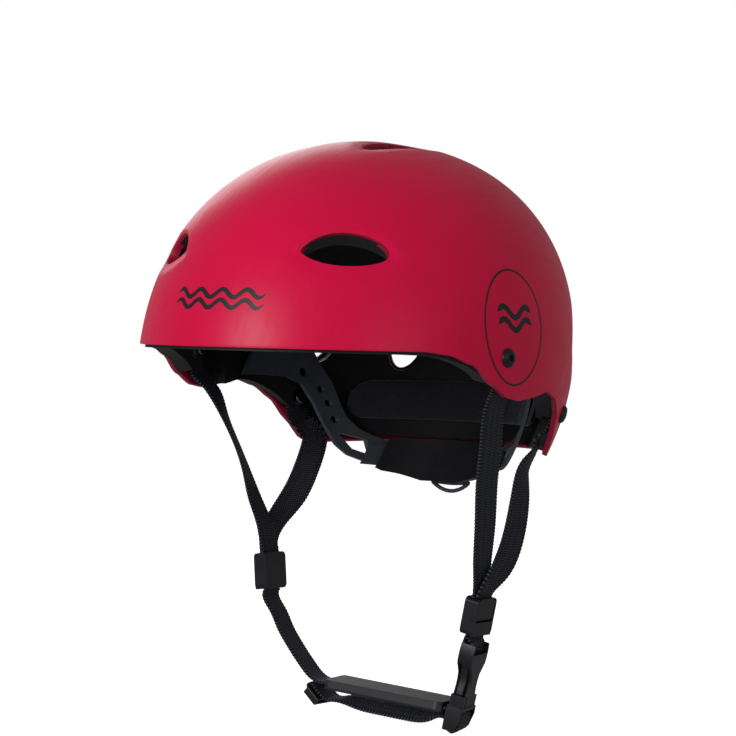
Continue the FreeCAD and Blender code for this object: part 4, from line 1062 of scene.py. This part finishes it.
def stuffed(node):
    """A comfort pad puffed up from its CAD block."""
    mesh = nodes[node].data.copy()
    piece = bpy.data.objects.new(node + "_look", mesh)
    bpy.context.scene.collection.objects.link(piece)
    work = welded(mesh)
    work.to_mesh(mesh)
    work.free()
    blocks = piece.modifiers.new("remesh", "REMESH")
    blocks.mode = "VOXEL"
    blocks.voxel_size = BLOCK_SIZE * MM
    bake(piece)
    relax = piece.modifiers.new("relax", "SMOOTH")
    relax.iterations = SMOOTHINGS
    bake(piece)
    normals = np.array([vertex.normal for vertex in piece.data.vertices])
    rest = spots_of(piece) - normals * INSET * MM
    move_spots(piece, rest)
    piece.data.update()
    puff(piece, rest)
    smoother = piece.modifiers.new("smoother", "SUBSURF")
    smoother.levels = smoother.render_levels = 1
    bake(piece)
    piece.data.materials.clear()
    piece.data.materials.append(FABRIC)
    piece.data.shade_smooth()
    stand_for(piece, node)


for node in ("brow_pad", "crown_pad", "rear_pad"):
    stuffed(node)

# ---------------------------------------------------------------- studio

FLOOR_RADIUS, FLOOR_GLOW, WORLD_LIGHT = 9, 0.8, 0.26
floor_level = cad_box[0].z - MM
floor_mesh = bpy.data.meshes.new("floor")
work = bmesh.new()
bmesh.ops.create_circle(work, cap_ends=True, segments=96, radius=FLOOR_RADIUS)
work.to_mesh(floor_mesh)
work.free()
floor = bpy.data.objects.new("floor", floor_mesh)
floor.location = (0, 0, floor_level)
bpy.context.scene.collection.objects.link(floor)
floor.visible_diffuse = floor.visible_glossy = False
floor_paint = Paint("floor", Specular_IOR_Level=0.1, Emission_Color=(1, 1, 1, 1),
                    Emission_Strength=FLOOR_GLOW)
floor_paint.tint(floor_paint.noise(3, 3), (0.90, 0.90, 0.90), (0.93, 0.93, 0.93))
floor_paint.rough(floor_paint.noise(20, 2), 0.75, 0.9)
floor_mesh.materials.append(floor_paint.material)

world = bpy.data.worlds.new("studio")
world.use_nodes = True
backdrop = world.node_tree.nodes["Background"]
backdrop.inputs["Color"].default_value = (1, 1, 1, 1)
seen = world.node_tree.nodes.new("ShaderNodeLightPath").outputs["Is Camera Ray"]
strength = world.node_tree.nodes.new("ShaderNodeMapRange")
strength.inputs["To Min"].default_value = WORLD_LIGHT
strength.inputs["To Max"].default_value = 1.0
world.node_tree.links.new(seen, strength.inputs["Value"])
world.node_tree.links.new(strength.outputs["Result"], backdrop.inputs["Strength"])
bpy.context.scene.world = world


def lamp(name, azimuth, elevation, distance, size, power):
    """A soft square light aimed at the helmet, placed like the camera by azimuth and elevation."""
    data = bpy.data.lights.new(name, "AREA")
    data.size = size
    data.energy = power
    a, e = math.radians(azimuth), math.radians(elevation)
    away = Vector((math.sin(a) * math.cos(e), -math.cos(a) * math.cos(e), math.sin(e)))
    lamp_object = bpy.data.objects.new(name, data)
    lamp_object.location = away * distance
    lamp_object.rotation_mode = "QUATERNION"
    lamp_object.rotation_quaternion = away.to_track_quat("Z", "Y")
    bpy.context.scene.collection.objects.link(lamp_object)


lamp("key", -5, 14, 1.6, 0.7, 14)
lamp("fill", 72, 8, 1.8, 0.8, 2.5)
lamp("rim", -130, 25, 1.8, 0.8, 5)
